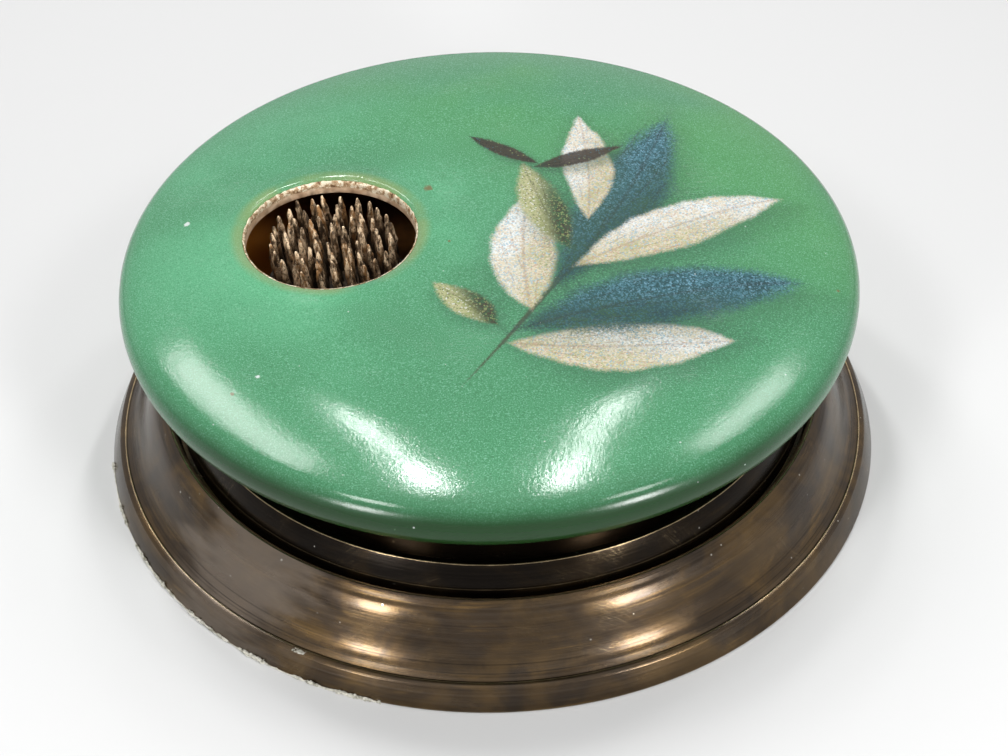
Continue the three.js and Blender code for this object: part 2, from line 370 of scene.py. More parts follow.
# %% Specks
def make_specks():
    """Dots in a share of the cells of a Voronoi pattern."""
    tree, given, result = group_of(
        "specks",
        [
            ("Vector", "Vector", None), ("Spacing", "Float", 3 * MM), ("Share", "Float", 0.3),
            ("Dot", "Float", 0.2),
        ],
        [("Mask", "Float")],
    )
    scale = calc(tree, "DIVIDE", 1.0, given["Spacing"])
    cells = add(tree, "ShaderNodeTexVoronoi", {"Vector": given["Vector"], "Scale": scale}).outputs
    draw = add(tree, "ShaderNodeSeparateColor", {0: cells["Color"]}).outputs
    size = times(tree, given["Dot"], calc(tree, "ADD", 0.35, draw["Green"]))
    dot = band(tree, calc(tree, "DIVIDE", cells["Distance"], size), 1.0, 0.6)
    chosen = calc(tree, "LESS_THAN", draw["Red"], given["Share"])
    tree.links.new(times(tree, dot, chosen), result["Mask"])
    return tree


SPECKS = make_specks()
tell(SPECKS)

# %% [markdown]
# ## Turned pieces
#
# On a lathe a ring is cut along one outline. Here the outline is a closed chain of corners, each
# given as radius, height and rounding. A vertex bevel rounds the corners, and a full spin about the
# vertical axis makes the ring. The spin merges its last step with its first, so the ring is closed.

# %% Helpers for turned pieces
RING_STEPS = 256
CORNER_STEPS = 4
CREASE = math.radians(28)
SAME_POINT = 0.002 * MM


def on_arc(centre, radius, angle):
    """The point of an arc whose outward normal stands at an angle from upright."""
    return centre[0] + radius * math.sin(angle), centre[1] + radius * math.cos(angle)


def arc(centre, radius, start, end, steps):
    """The points of an arc from one angle to another."""
    return [on_arc(centre, radius, start + (end - start) * i / steps) for i in range(steps + 1)]


def spun(outline, steps=RING_STEPS, closed=True):
    """Spins an outline of (radius, height, rounding) corners. An open outline ends on the axis."""
    bm = bmesh.new()
    corners = [bm.verts.new((corner[0], 0, corner[1])) for corner in outline]
    chain = corners + corners[:1] if closed else corners
    for first, second in zip(chain, chain[1:]):
        bm.edges.new((first, second))
    for rounding in sorted({corner[2] for corner in outline if corner[2]}):
        rounded = [point for point, corner in zip(corners, outline) if corner[2] == rounding]
        bmesh.ops.bevel(
            bm, geom=rounded, offset=rounding, offset_type="OFFSET", affect="VERTICES",
            segments=CORNER_STEPS, profile=0.5, material=-1, clamp_overlap=True,
        )
    bmesh.ops.spin(
        bm, geom=bm.verts[:] + bm.edges[:], cent=(0, 0, 0), axis=(0, 0, 1), angle=math.tau,
        steps=steps, use_merge=True,
    )
    bmesh.ops.remove_doubles(bm, verts=bm.verts, dist=SAME_POINT)
    return bm


def mesh_object(bm, name):
    """Hands the bmesh over to a new object in the scene."""
    mesh = bpy.data.meshes.new(name)
    bm.to_mesh(mesh)
    bm.free()
    made = bpy.data.objects.new(name, mesh)
    bpy.context.scene.collection.objects.link(made)
    return made


def finish_piece(bm, name, body, materials, nodes=()):
    """Turns a bmesh into an object, and says what it rides on, what it is made of and what it replaces."""
    bmesh.ops.recalc_face_normals(bm, faces=bm.faces)
    for face in bm.faces:
        face.smooth = True
    for edge in bm.edges:
        edge.smooth = edge.calc_face_angle(0) < CREASE
    piece = mesh_object(bm, name)
    for material in materials:
        piece.data.materials.append(material)
    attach(piece, body)
    if nodes:
        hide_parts(*nodes)
    print(name, "has", len(piece.data.polygons), "faces and rides on", body)
    return piece


print("a full turn takes", RING_STEPS, "steps, and a rounded corner", CORNER_STEPS)

# %% [markdown]
# ## Bronze with a brown patina
#
# The plinth and the seat ring are turned bronze under a dark brown patina. Four things break up the
# brown: stains of a warmer and a greyer tone, the rings of the lathe tool, golden metal along the
# edges, where the patina is rubbed off and where a painted highlight line runs on the sharp edges,
# and a paler patch on one side, which is a painted reflection. On the seat ring the metal above the
# skirt is darkened with painted shade, as it lies under the vessel. The stains are drawn out along
# the ring, as wax and handling leave them. A thin coat of wax gives the whitish gloss, and the metal
# under it stays softer, so it carries the brown.

# %% Bronze colours
DARK_PATINA = colour(0.022, 0.015, 0.010)
BROWN_PATINA = colour(0.049, 0.031, 0.016)
GREY_PATINA = colour(0.070, 0.054, 0.040)
GOLDEN_BRONZE = colour(0.200, 0.118, 0.038)
BRIGHT_BRONZE = colour(0.460, 0.350, 0.205)
PALE_DUST = colour(0.420, 0.400, 0.360)
# The colour of the painted reflection on one side of the plinth.
PAINTED_REFLECTION_TINT = colour(0.195, 0.158, 0.126)
BLACK = colour(0.002, 0.0015, 0.001)
print("the patina goes from", DARK_PATINA[:3], "to", GREY_PATINA[:3])

# %% Patina
# How far the middle of the painted reflection patch lies from the middle of the plinth's foot.
REFLECTION_PATCH_DISTANCE = 110 * MM


def stained_patina(tree, where, turning, tone):
    """Brown with stains, lathe lines and some golden metal, most of them drawn out along the ring."""
    ringwise = turning["Ringwise"]
    warm = place(tree, PATCHES, Vector=ringwise, Size=19 * MM, Cover=tone, Edge=0.12)["Mask"]
    grey = place(tree, PATCHES, Vector=ringwise, Size=13 * MM, Cover=0.46, Edge=0.14)["Mask"]
    gold = place(tree, PATCHES, Vector=ringwise, Size=9 * MM, Cover=0.40, Edge=0.10)["Mask"]
    tint = mix(tree, warm, DARK_PATINA, BROWN_PATINA)
    tint = mix(tree, times(tree, grey, 0.5), tint, GREY_PATINA)
    lines = band(tree, turning["Lines"], 0.42, 0.66)
    tint = mix(tree, times(tree, lines, 0.50), tint, GREY_PATINA)
    dark_lines = band(tree, turning["Lines"], 0.46, 0.30)
    tint = mix(tree, times(tree, dark_lines, 0.70), tint, DARK_PATINA)
    broad = place(tree, TURNING, Vector=where, Spacing=2.4 * MM, Waviness=0.9)
    streaks = band(tree, broad["Lines"], 0.46, 0.64, 0.12, 0.62)
    tint = mix(tree, times(tree, gold, streaks), tint, GOLDEN_BRONZE)
    stain = place(tree, PATCHES, Vector=where, Size=17 * MM, Cover=0.46, Edge=0.14)["Mask"]
    tint = mix(tree, times(tree, stain, 0.30), tint, GOLDEN_BRONZE)
    smoke = place(tree, PATCHES, Vector=ringwise, Size=26 * MM, Cover=0.44, Edge=0.12)["Mask"]
    return mix(tree, times(tree, smoke, 0.45), tint, DARK_PATINA)


def painted_reflection_patch(tree, where, ringwise, way):
    """A painted reflection: a ragged paler patch round a point that lies that way from the middle of the
    plinth.
    """
    away = distance(tree, where, tuple(step * REFLECTION_PATCH_DISTANCE for step in way))
    away = calc(tree, "ADD", away, wander(tree, ringwise, 90.0, 4.0, 60 * MM))
    return band(tree, away, 28 * MM, 10 * MM, 0, 0.66)


def ring_masks(tree, where, across, rings, raggedness):
    """One mask for each ring of a list of (radius, height, width, strength)."""
    masks = []
    for radius, height, width, strength in rings:
        ring = place(
            tree, WORN_AND_HIGHLIT_RING, Vector=where, Across=across, Edge=radius - height, Width=width,
            Raggedness=raggedness,
        )["Mask"]
        masks.append(times(tree, ring, strength))
    return masks


# %% Bronze
def make_bronze(name, edges, tone, grooves=(), shade=None, reflection_side=None, coat=0.18):
    """Edges are the rings where the patina is rubbed off, which on sharp edges are also painted highlight
    lines, and grooves are rings filled with dirt.

    Tone is the share of warm brown, shade is how strongly the metal above a level is darkened with
    painted shade and from which level, and reflection side is the way to a paler patch that is a
    painted reflection.
    """
    made, tree, shader, where = material_of(
        name, Metallic=0.88, Specular_IOR_Level=0.25, Coat_Weight=coat, Coat_Roughness=0.12,
    )
    turning = place(tree, TURNING, Vector=where, Spacing=0.55 * MM, Waviness=0.45)
    ringwise = turning["Ringwise"]
    tint = stained_patina(tree, where, turning, tone)
    # A paler patch on one side: a painted reflection.
    if reflection_side:
        tint = mix(tree, painted_reflection_patch(tree, where, ringwise, reflection_side), tint, PAINTED_REFLECTION_TINT)
    # The metal above the level is darkened towards black: painted shade, as under the vessel.
    if shade:
        black, level = shade
        painted_shade = band(tree, turning["Height"], level - 0.6 * MM, level, 0.3 * black, black)
        tint = mix(tree, painted_shade, tint, BLACK)
    across = calc(tree, "SUBTRACT", turning["Radius"], turning["Height"])
    # Bright rings along the edges: worn golden metal, and on sharp edges also a painted highlight line.
    worn_and_highlit = 0.0
    for ring in ring_masks(tree, where, across, edges, 0.32):
        worn_and_highlit = calc(tree, "MAXIMUM", worn_and_highlit, ring)
    tint = mix(tree, worn_and_highlit, tint, BRIGHT_BRONZE)
    for ring in ring_masks(tree, where, across, grooves, 0.15):
        tint = mix(tree, ring, tint, BLACK)
    marks = place(tree, SCRATCHES, Vector=where, Length=14 * MM, Amount=0.22)["Mask"]
    tint = mix(tree, marks, tint, BRIGHT_BRONZE)
    dust = place(tree, SPECKS, Vector=where, Spacing=3.2 * MM, Share=0.20, Dot=0.10)["Mask"]
    tint = mix(tree, times(tree, dust, 0.7), tint, PALE_DUST)
    rough = band(tree, speckle(tree, ringwise, 190.0, 4.0), 0.3, 0.7, 0.17, 0.28)
    normal = relief(tree, turning["Lines"], 0.030 * MM)
    normal = relief(tree, place(tree, GRAIN, Vector=where, Size=0.7 * MM)["Value"], 0.012 * MM, normal)
    feed(tree, shader, Base_Color=tint, Roughness=rough, Normal=normal)
    return made


# %% [markdown]
# ## The plinth
#
# The plinth is a broad flange: a bevelled border, a small sloping ridge with a fine cove behind it,
# and a long S-shaped slope up to a sharp lip. Inside the lip a bore takes the loose ring, which
# stands on a shelf. The slope comes from a formula that is flatter at both ends than in the middle.

# %% Plinth sizes
flange_low, flange_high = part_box("plinth_flange")
ring_low, ring_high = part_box("seat_ring")
floor_low, floor_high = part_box("plinth_floor")
TURNING_GAP = 0.6 * MM
PLINTH_RADIUS = flange_high.x
PLINTH_LIP_HEIGHT = flange_high.z
PLINTH_FOOT = flange_low.z
RING_BASE_RADIUS = ring_high.x
PLINTH_BORE = RING_BASE_RADIUS + TURNING_GAP
LIP_WALL = 1.9 * MM
LIP_FLAT = 0.5 * MM
LIP_EASE = 0.5 * MM
LIP_CHAMFER = 1.6 * MM
SLOPE_WIDTH = 13.4 * MM
SLOPE_STEPS = 30
SLOPE_CURL = 0.6
COVE_WIDTH = 0.6 * MM
COVE_DROP = 0.15 * MM
RIDGE_WIDTH = 1.7 * MM
RIDGE_CROWN = 0.10 * MM
RIDGE_RISE = 0.60 * MM
BEVEL_HEIGHT = 6.9 * MM
RIM_FOOT_WIDTH = 7 * MM
REBATE_WIDTH = 5 * MM
SHELF_WIDTH = 8.6 * MM
SHELF_THICKNESS = 3.5 * MM
HOLLOW_LEAN = 3.5 * MM
HOLLOW_CORNER = 1.5 * MM
HOLLOW_REACH = 4.5 * MM
REST_GAP = 0.3 * MM

lip_radius = PLINTH_BORE + LIP_WALL
slope_foot_radius = lip_radius + SLOPE_WIDTH
ridge_radius = slope_foot_radius + COVE_WIDTH + RIDGE_WIDTH
ridge_height = PLINTH_FOOT + BEVEL_HEIGHT
ridge_top = ridge_height + RIDGE_RISE
cove_height = ridge_top - COVE_DROP
shelf_top = ring_low.z - REST_GAP
rebate_radius = PLINTH_RADIUS - RIM_FOOT_WIDTH
print("plinth radii in mm:", [round(r / MM, 1) for r in (lip_radius, slope_foot_radius, ridge_radius)])

# %% Plinth outline
def slope_points():
    """From the cove up to the lip."""
    points = []
    for i in range(SLOPE_STEPS + 1):
        share = i / SLOPE_STEPS
        rise = share - SLOPE_CURL * math.sin(math.tau * share) / math.tau
        height = cove_height + (PLINTH_LIP_HEIGHT - cove_height) * rise
        points.append((slope_foot_radius - SLOPE_WIDTH * share, height, 0))
    return points


def plinth_outline():
    hollow = rebate_radius - REBATE_WIDTH
    shelf_bottom = shelf_top - SHELF_THICKNESS
    return [
        (rebate_radius, PLINTH_FOOT, 0.2 * MM),
        (PLINTH_RADIUS, PLINTH_FOOT, 0.25 * MM),
        (ridge_radius, ridge_height, 0.3 * MM),
        (ridge_radius - RIDGE_WIDTH / 2, ridge_height + RIDGE_RISE / 2 + RIDGE_CROWN, 0.35 * MM),
        (ridge_radius - RIDGE_WIDTH, ridge_top, 0.15 * MM),
        *slope_points(),
        (lip_radius - LIP_FLAT, PLINTH_LIP_HEIGHT, 0.12 * MM),
        (PLINTH_BORE + LIP_FLAT, PLINTH_LIP_HEIGHT - LIP_EASE, 0.15 * MM),
        (PLINTH_BORE, PLINTH_LIP_HEIGHT - LIP_CHAMFER, 0.2 * MM),
        (PLINTH_BORE, shelf_top, 0.2 * MM),
        (PLINTH_BORE - SHELF_WIDTH, shelf_top, 0.4 * MM),
        (PLINTH_BORE - SHELF_WIDTH, shelf_bottom, 0.4 * MM),
        (hollow - HOLLOW_LEAN - HOLLOW_REACH, shelf_bottom, 0),
        (hollow - HOLLOW_LEAN, shelf_bottom - HOLLOW_CORNER, 0.6 * MM),
        (hollow, floor_high.z + REST_GAP, 0.2 * MM),
        (rebate_radius, floor_high.z + REST_GAP, 0.2 * MM),
    ]


print("the plinth's outline has", len(plinth_outline()), "corners")

# %% Plinth
# Each tool groove: share of the slope's width, height above the ridge in mm, and how dark it is.
TOOL_GROOVES = ((0.09, 0.9, 0.35), (0.16, 1.2, 0.6), (0.26, 3.4, 0.5))
GROOVE_WIDTH = 0.35 * MM

# Bright rings on the lip, the ridge and the foot: worn metal, and on the lip and the ridge also a painted
# highlight line.
plinth_edges = [
    (lip_radius - LIP_FLAT, PLINTH_LIP_HEIGHT, 0.55 * MM, 0.80),
    (ridge_radius - RIDGE_WIDTH, ridge_top, 0.26 * MM, 0.75),
    (PLINTH_RADIUS, PLINTH_FOOT, 0.8 * MM, 0.25),
]
plinth_grooves = [(slope_foot_radius, cove_height, 0.3 * MM, 0.15)]
for share, rise, darkness in TOOL_GROOVES:
    groove_radius = slope_foot_radius - share * SLOPE_WIDTH
    plinth_grooves.append((groove_radius, ridge_height + rise * MM, GROOVE_WIDTH, darkness))
# The paler patch towards the left front is a painted reflection.
plinth_bronze = make_bronze(
    "plinth bronze", plinth_edges, 0.52, plinth_grooves, reflection_side=(-0.66, -0.74, 0.16),
)
finish_piece(
    spun(plinth_outline()), "plinth", "plinth", [plinth_bronze], ["plinth_flange"],
)

# %% [markdown]
# ## The loose ring
#
# A second ring drops into the plinth's bore and can be turned by hand with the vessel on it. Its wall
# leans inwards to an upper edge that is worn bright and carries a painted highlight line. Behind that
# edge a dish slopes down to the ledge that the vessel's foot stands on. All of the ring above the
# skirt is darkened with painted shade, as it lies under the vessel.

# %% Loose ring
foot_low, foot_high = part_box("foot_ring")
SKIRT_HEIGHT = 5.3 * MM
BASE_STEP = 1.5 * MM
BASE_THICKNESS = 1.7 * MM
BASE_WIDTH = 9 * MM
UPSTAND_TOP = 1.5 * MM
UPSTAND_SPREAD = 2.9 * MM
DISH_WIDTH = 17.2 * MM
RECESS_DEPTH = 1.6 * MM
LEDGE_WIDTH = 8 * MM
WEB = 3.5 * MM

skirt_radius = RING_BASE_RADIUS - BASE_STEP
upstand_outer = skirt_radius - UPSTAND_SPREAD
upstand_inner = upstand_outer - UPSTAND_TOP
recess_radius = upstand_inner - DISH_WIDTH
skirt_top = ring_low.z + BASE_THICKNESS + SKIRT_HEIGHT
ledge_top = foot_low.z - REST_GAP

ring_outline = [
    (RING_BASE_RADIUS - BASE_WIDTH, ring_low.z, 0.3 * MM),
    (RING_BASE_RADIUS, ring_low.z, 0.3 * MM),
    (RING_BASE_RADIUS, ring_low.z + BASE_THICKNESS, 0.3 * MM),
    (skirt_radius, ring_low.z + BASE_THICKNESS, 0.3 * MM),
    (skirt_radius, skirt_top, 0.25 * MM),
    (upstand_outer, ring_high.z, 0.25 * MM),
    (upstand_inner, ring_high.z, 0.4 * MM),
    (recess_radius, ledge_top + RECESS_DEPTH, 0.4 * MM),
    (recess_radius, ledge_top, 0.3 * MM),
    (recess_radius - LEDGE_WIDTH, ledge_top, 0.4 * MM),
    (recess_radius - LEDGE_WIDTH, ledge_top - WEB, 0.4 * MM),
    (RING_BASE_RADIUS - BASE_WIDTH, ledge_top - WEB, 0.4 * MM),
]
# The bright upper edge of the wall and the skirt's edge: worn metal and a painted highlight line.
ring_edges = [
    (upstand_outer, ring_high.z, 0.40 * MM, 0.65),
    (skirt_radius, skirt_top, 0.30 * MM, 0.50),
]
# The wall and the dish above the skirt are darkened with painted shade under the vessel.
ring_bronze = make_bronze("ring bronze", ring_edges, 0.34, shade=(0.86, skirt_top), coat=0.04)
finish_piece(
    spun(ring_outline), "loose_ring", "seat", [ring_bronze], ["seat_ring"],
)

# %% [markdown]
# ## The vessel's outline
#
# Seen from the side the vessel is a flat lens: a wide, almost flat crown, a shoulder that falls
# faster, a tighter bend at the edge, a round side and a belly that runs in to a flat underside. The
# arcs meet without a kink because each starts at the angle where the last one ended. One function
# gives the height of the top at any distance from the axis, because the mouth needs it too.

# %% Vessel outline
shell_low, shell_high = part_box("vessel_top")
bottom_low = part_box("vessel_bottom")[0]
VESSEL_RADIUS = shell_high.x
SIDE_RADIUS = 9 * MM
EDGE_RADIUS = 6.5 * MM
CROWN_RADIUS = 70 * MM
SIDE_TOP = math.radians(70)
SHOULDER = math.radians(15)
CROWN = math.radians(1)
BELLY_TOP = math.radians(140)
UNDERSIDE_MARGIN = 0.8 * MM

side_centre = (VESSEL_RADIUS - SIDE_RADIUS, shell_low.z)
edge_centre = on_arc(side_centre, SIDE_RADIUS - EDGE_RADIUS, SIDE_TOP)
edge_top = on_arc(edge_centre, EDGE_RADIUS, SHOULDER)
shoulder_bend = (edge_top[0] - CROWN_RADIUS) / (math.sin(SHOULDER) - math.sin(CROWN))
shoulder_centre = on_arc(edge_top, -shoulder_bend, SHOULDER)
crown_bend = CROWN_RADIUS / math.sin(CROWN)
shoulder_top = on_arc(shoulder_centre, shoulder_bend, CROWN)
crown_centre = (0, shoulder_top[1] - crown_bend * math.cos(CROWN))


def top_height(radius):
    """Height of the crown and shoulder at a distance from the vessel's axis."""
    if radius <= CROWN_RADIUS:
        centre, bend = crown_centre, crown_bend
    else:
        centre, bend = shoulder_centre, shoulder_bend
    return centre[1] + math.sqrt(bend ** 2 - (radius - centre[0]) ** 2)


def belly_points(steps):
    """A curve that leaves the side along the side's own slope and lands level on the underside."""
    side = on_arc(side_centre, SIDE_RADIUS, BELLY_TOP)
    foot = (foot_high.x + UNDERSIDE_MARGIN, bottom_low.z)
    corner = (side[0] + (side[1] - foot[1]) / math.tan(BELLY_TOP), foot[1])
    points = []
    for i in range(1, steps + 1):
        t = i / steps
        weighed = list(zip(((1 - t) ** 2, 2 * t * (1 - t), t ** 2), (side, corner, foot)))
        points.append(tuple(sum(weight * point[k] for weight, point in weighed) for k in (0, 1)))
    return points


print("crown height in mm:", round(top_height(0) / MM, 2), "frame:", round(shell_high.z / MM, 2))

# %% [markdown]
# ## The enamelled shell
#
# The top and bottom of the vessel are soldered and enamelled over, so they show as one skin. The
# mouth is off the axis, so the mesh starts as a circle at the mouth and is extruded ring by ring.
# Each ring lies a little nearer to the vessel's axis and is a little wider, and its points take
# their height from the outline. Round the mouth the skin swells a little and then rolls over into
# the hole. Past the shoulder the rings are plain circles about the axis. A Solidify modifier gives
# the copper its wall, and the inside gets its own material.

# %% Mouth sizes
collar_low, collar_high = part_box("mouth_collar")
MOUTH_BORE = 25.6 * MM
COLLAR_WALL = 1.6 * MM
COLLAR_DEPTH = 4.9 * MM
SKIN_WALL = 1.8 * MM
LIP_SPREAD_END = 35 * MM
MOUTH_STEPS = 192
# The rolled lip, from inside the mouth outwards: radius and rise above the crown, in mm.
LIP_PROFILE = (
    (26.2, -0.75), (26.25, -0.60), (26.4, -0.42), (26.65, -0.22), (27.0, -0.02), (27.4, 0.14),
    (27.9, 0.26), (28.4, 0.32), (28.9, 0.34),
)
LIP_SPREAD_RINGS = 12
CROWN_RINGS = 30
ARC_RINGS = 12
BELLY_RINGS = 16
UNDERSIDE_RADII = (70, 50, 30, 14)

mouth_middle = (collar_low + collar_high) / 2
mouth_offset = Vector((mouth_middle.x, mouth_middle.y)).length
mouth_bearing = math.atan2(mouth_middle.y, mouth_middle.x)
mouth_tilt = math.asin(mouth_offset / crown_bend)
mouth_frame = (
    Matrix.Translation((mouth_middle.x, mouth_middle.y, top_height(mouth_offset)))
    @ Matrix.Rotation(mouth_bearing, 4, "Z")
    @ Matrix.Rotation(mouth_tilt, 4, "Y")
)
print("mouth at", [round(c / MM, 2) for c in mouth_frame.translation])
print("its tilt in degrees:", round(math.degrees(mouth_tilt), 2))

# %% Rings of the shell
def lip_level(x, y, rise):
    """Height over a point of the plane that lies on the mouth, a rise above the crown."""
    normal = mouth_frame.to_3x3() @ Vector((0, 0, 1))
    anchor = mouth_frame @ Vector((0, 0, rise))
    return anchor.z - ((x - anchor.x) * normal.x + (y - anchor.y) * normal.y) / normal.z


def shell_stations():
    """(share of the way to the axis, ring radius, rise of the lip, how far the lip has melted away)."""
    rings = [(0, radius * MM, rise * MM, 0) for radius, rise in LIP_PROFILE]
    spread_start, lip_rise = rings[-1][1:3]
    for i in range(1, LIP_SPREAD_RINGS + 1):
        share = i / LIP_SPREAD_RINGS
        radius = spread_start + (LIP_SPREAD_END - spread_start) * share
        rings.append((0, radius, lip_rise, share * share * (3 - 2 * share)))
    for i in range(1, CROWN_RINGS + 1):
        share = i / CROWN_RINGS
        rings.append((share, LIP_SPREAD_END + (edge_top[0] - LIP_SPREAD_END) * share, 0, 1))
    return rings


def ring_point(station, turn):
    """The point of a ring at a turn, between the plane of the lip and the skin of the crown."""
    toward_axis, radius, rise, melted = station
    x = mouth_middle.x * (1 - toward_axis) + radius * math.cos(turn)
    y = mouth_middle.y * (1 - toward_axis) + radius * math.sin(turn)
    skin = top_height(min(math.hypot(x, y), edge_top[0]))
    return Vector((x, y, skin * melted + lip_level(x, y, rise) * (1 - melted)))


def grow(bm, edges, turns, where):
    """Extrudes a loop and moves each new point to where(turn). Returns the new loop and its turns."""
    made = bmesh.ops.extrude_edge_only(bm, edges=edges)["geom"]
    points = [g for g in made if isinstance(g, bmesh.types.BMVert)]
    fresh = {}
    for point in points:
        old = next(e.other_vert(point) for e in point.link_edges if e.other_vert(point) in turns)
        fresh[point] = turns[old]
    for point, turn in fresh.items():
        point.co = where(turn)
    loop = [g for g in made if isinstance(g, bmesh.types.BMEdge) and all(v in fresh for v in g.verts)]
    return loop, fresh


def lower_circles():
    """(radius, height) of the circles from the edge's bend to the middle of the underside."""
    circles = arc(edge_centre, EDGE_RADIUS, SHOULDER, SIDE_TOP, ARC_RINGS)[1:]
    circles += arc(side_centre, SIDE_RADIUS, SIDE_TOP, BELLY_TOP, ARC_RINGS)[1:]
    circles += belly_points(BELLY_RINGS)
    return circles + [(radius * MM, bottom_low.z) for radius in UNDERSIDE_RADII]


print("the shell grows by", len(shell_stations()) - 1, "rings and", len(lower_circles()), "circles")

# %% Grow the shell
def make_shell():
    bm = bmesh.new()
    bmesh.ops.create_circle(bm, cap_ends=False, radius=1, segments=MOUTH_STEPS)
    turns = {point: math.atan2(point.co.y, point.co.x) for point in bm.verts}
    stations = shell_stations()
    for point, turn in turns.items():
        point.co = ring_point(stations[0], turn)
    loop = list(bm.edges)
    for station in stations[1:]:
        loop, turns = grow(bm, loop, turns, lambda turn: ring_point(station, turn))
    for radius, height in lower_circles():
        loop, turns = grow(
            bm, loop, turns, lambda turn: Vector((radius * math.cos(turn), radius * math.sin(turn), height)),
        )
    cap = bmesh.ops.contextual_create(bm, geom=loop)["faces"]
    bmesh.ops.poke(bm, faces=cap)
    return bm


# %% [markdown]
# ## A generic spray of leaves
#
# The enamel carries a decoration in sifted colours. Here it is a plain fan of long leaves, each one a
# lens with a slight bend. One node group makes the mask of a leaf from its place, angle, length and
# width. Sifted enamel has no hard outline, so noise frays the edge of each mask.

# %% Leaf mask
def make_leaf():
    """The Mapping node works backwards here, so that X runs from 0 to 1 along the leaf."""
    tree, given, result = group_of(
        "leaf",
        [
            ("Vector", "Vector", None), ("Location", "Vector", (0, 0, 0)),
            ("Rotation", "Vector", (0, 0, 0)), ("Scale", "Vector", (1, 1, 1)),
            ("Bend", "Float", 0.0), ("Softness", "Float", 0.1),
        ],
        [("Mask", "Float"), ("Along", "Float"), ("Across", "Float")],
    )
    sockets = {name: given[name] for name in ("Vector", "Location", "Rotation", "Scale")}
    local = add(tree, "ShaderNodeMapping", sockets, vector_type="TEXTURE").outputs[0]
    split = parts_of(tree, local)
    along = split["X"]
    across = calc(tree, "SUBTRACT", split["Y"], times(tree, given["Bend"], times(tree, along, along)))
    belly = times(tree, times(tree, along, calc(tree, "SUBTRACT", 1.0, along)), 4.0)
    edge = calc(tree, "SUBTRACT", belly, calc(tree, "ABSOLUTE", across))
    frayed = calc(tree, "SUBTRACT", speckle(tree, given["Vector"], 1500.0, 3.0, 0.7), 0.5)
    frayed = times(tree, frayed, times(tree, given["Softness"], 3.0))
    edge = calc(tree, "ADD", edge, frayed)
    edge = calc(tree, "ADD", edge, wander(tree, given["Vector"], 110.0, 2.0, 0.35))
    start = times(tree, given["Softness"], -1.0)
    tree.links.new(band(tree, edge, start, given["Softness"]), result["Mask"])
    tree.links.new(along, result["Along"])
    tree.links.new(across, result["Across"])
    return tree


LEAF = make_leaf()
tell(LEAF)

# %% [markdown]
# ## The enamel
#
# The ground is a green glass with a fine sugar grain, a little bluer beside the mouth and a little
# yellower towards the back. From the bend down the side is darkened with painted shade, most of all
# in front. Round the lip the enamel is thin, and a yellow brown ring shines through. The leaves are
# laid over it in order, each with a soft sprayed shadow.

# %% Enamel colours
GREEN = colour(0.058, 0.238, 0.110)
BLUE_GREEN = colour(0.092, 0.362, 0.180)
YELLOW_GREEN = colour(0.066, 0.268, 0.088)
DEEP_GREEN = colour(0.026, 0.090, 0.036)
# The near-black green of the painted shade on the side.
SIDE_SHADE_GREEN = colour(0.003, 0.030, 0.004)
PALE_GRAIN = colour(0.240, 0.520, 0.370)
THIN_ENAMEL = colour(0.250, 0.270, 0.080)
RUST = colour(0.160, 0.080, 0.025)
WHITE_CREAM = colour(0.640, 0.560, 0.420)
COOL_WHITE = colour(0.720, 0.750, 0.760)
SKY = colour(0.200, 0.400, 0.540)
DUSK_BLUE = colour(0.095, 0.240, 0.320)
DEEP_TEAL = colour(0.011, 0.046, 0.060)
MID_TEAL = colour(0.028, 0.110, 0.142)
OLIVE = colour(0.260, 0.310, 0.110)
PALE_OCHRE = colour(0.440, 0.420, 0.240)
ROSE = colour(0.460, 0.280, 0.220)
BARK = colour(0.045, 0.030, 0.018)
DARK_BARK = colour(0.016, 0.011, 0.008)
SPRAY_SHADOW = colour(0.024, 0.075, 0.042)
VEIN = colour(0.260, 0.120, 0.045)
print("the ground goes from", GREEN[:3], "to", BLUE_GREEN[:3])

# %% Leaves, stems and spots
# Each leaf: finish, foot x and y in mm, angle in degrees, length and half width in mm, bend.
LEAVES = (
    ("olive", (2, -40), 128, 26, 5.0, 0.5),
    ("pale", (6, -48), -8, 62, 10.0, 0.9),
    ("teal", (8, -42), 22, 84, 12.0, -1.0),
    ("pale", (12, -34), 98, 54, 10.0, -0.8),
    ("teal", (20, -22), 58, 88, 12.5, 0.9),
    ("pale", (26, -14), 34, 70, 9.5, -0.9),
    ("olive", (24, -6), 112, 44, 6.5, -0.6),
    ("pale", (30, 8), 84, 52, 7.5, 0.8),
    ("bark", (14, 34), 16, 30, 3.2, 0.7),
    ("bark", (16, 36), 148, 26, 2.8, -0.6),
)
SOFTNESS = {"pale": 0.12, "teal": 0.26, "olive": 0.20, "bark": 0.18}
# A stem has the same measures as a leaf, and is always of bark.
STEMS = (
    ((-6, -62), 56, 92, 0.9, 7.0),
    ((20, -14), 70, 74, 0.7, -6.0),
)
STEM_SOFTNESS = 0.5
# The sprayed shadow of a leaf: its shift in mm, how much longer and wider it is, and how soft.
SHADOW_SHIFT = (2.0, -2.5)
SHADOW_LENGTH = 1.02
SHADOW_WIDTH = 1.25
SHADOW_SOFTNESS = 0.8
# Each spot: x and y in mm, width in mm, and whether it is rust or a white chip.
SPOTS = (
    (-18.1, 24.5, 3.2, "rust"), (-11.7, -1.8, 1.0, "rust"), (101.4, -22.6, 1.6, "rust"),
    (-71.7, -63.3, 1.4, "rust"), (-64.8, -58.1, 1.5, "chip"), (-90.7, 12.4, 2.2, "chip"),
)
print(len(LEAVES), "leaves,", len(STEMS), "stems and", len(SPOTS), "spots")

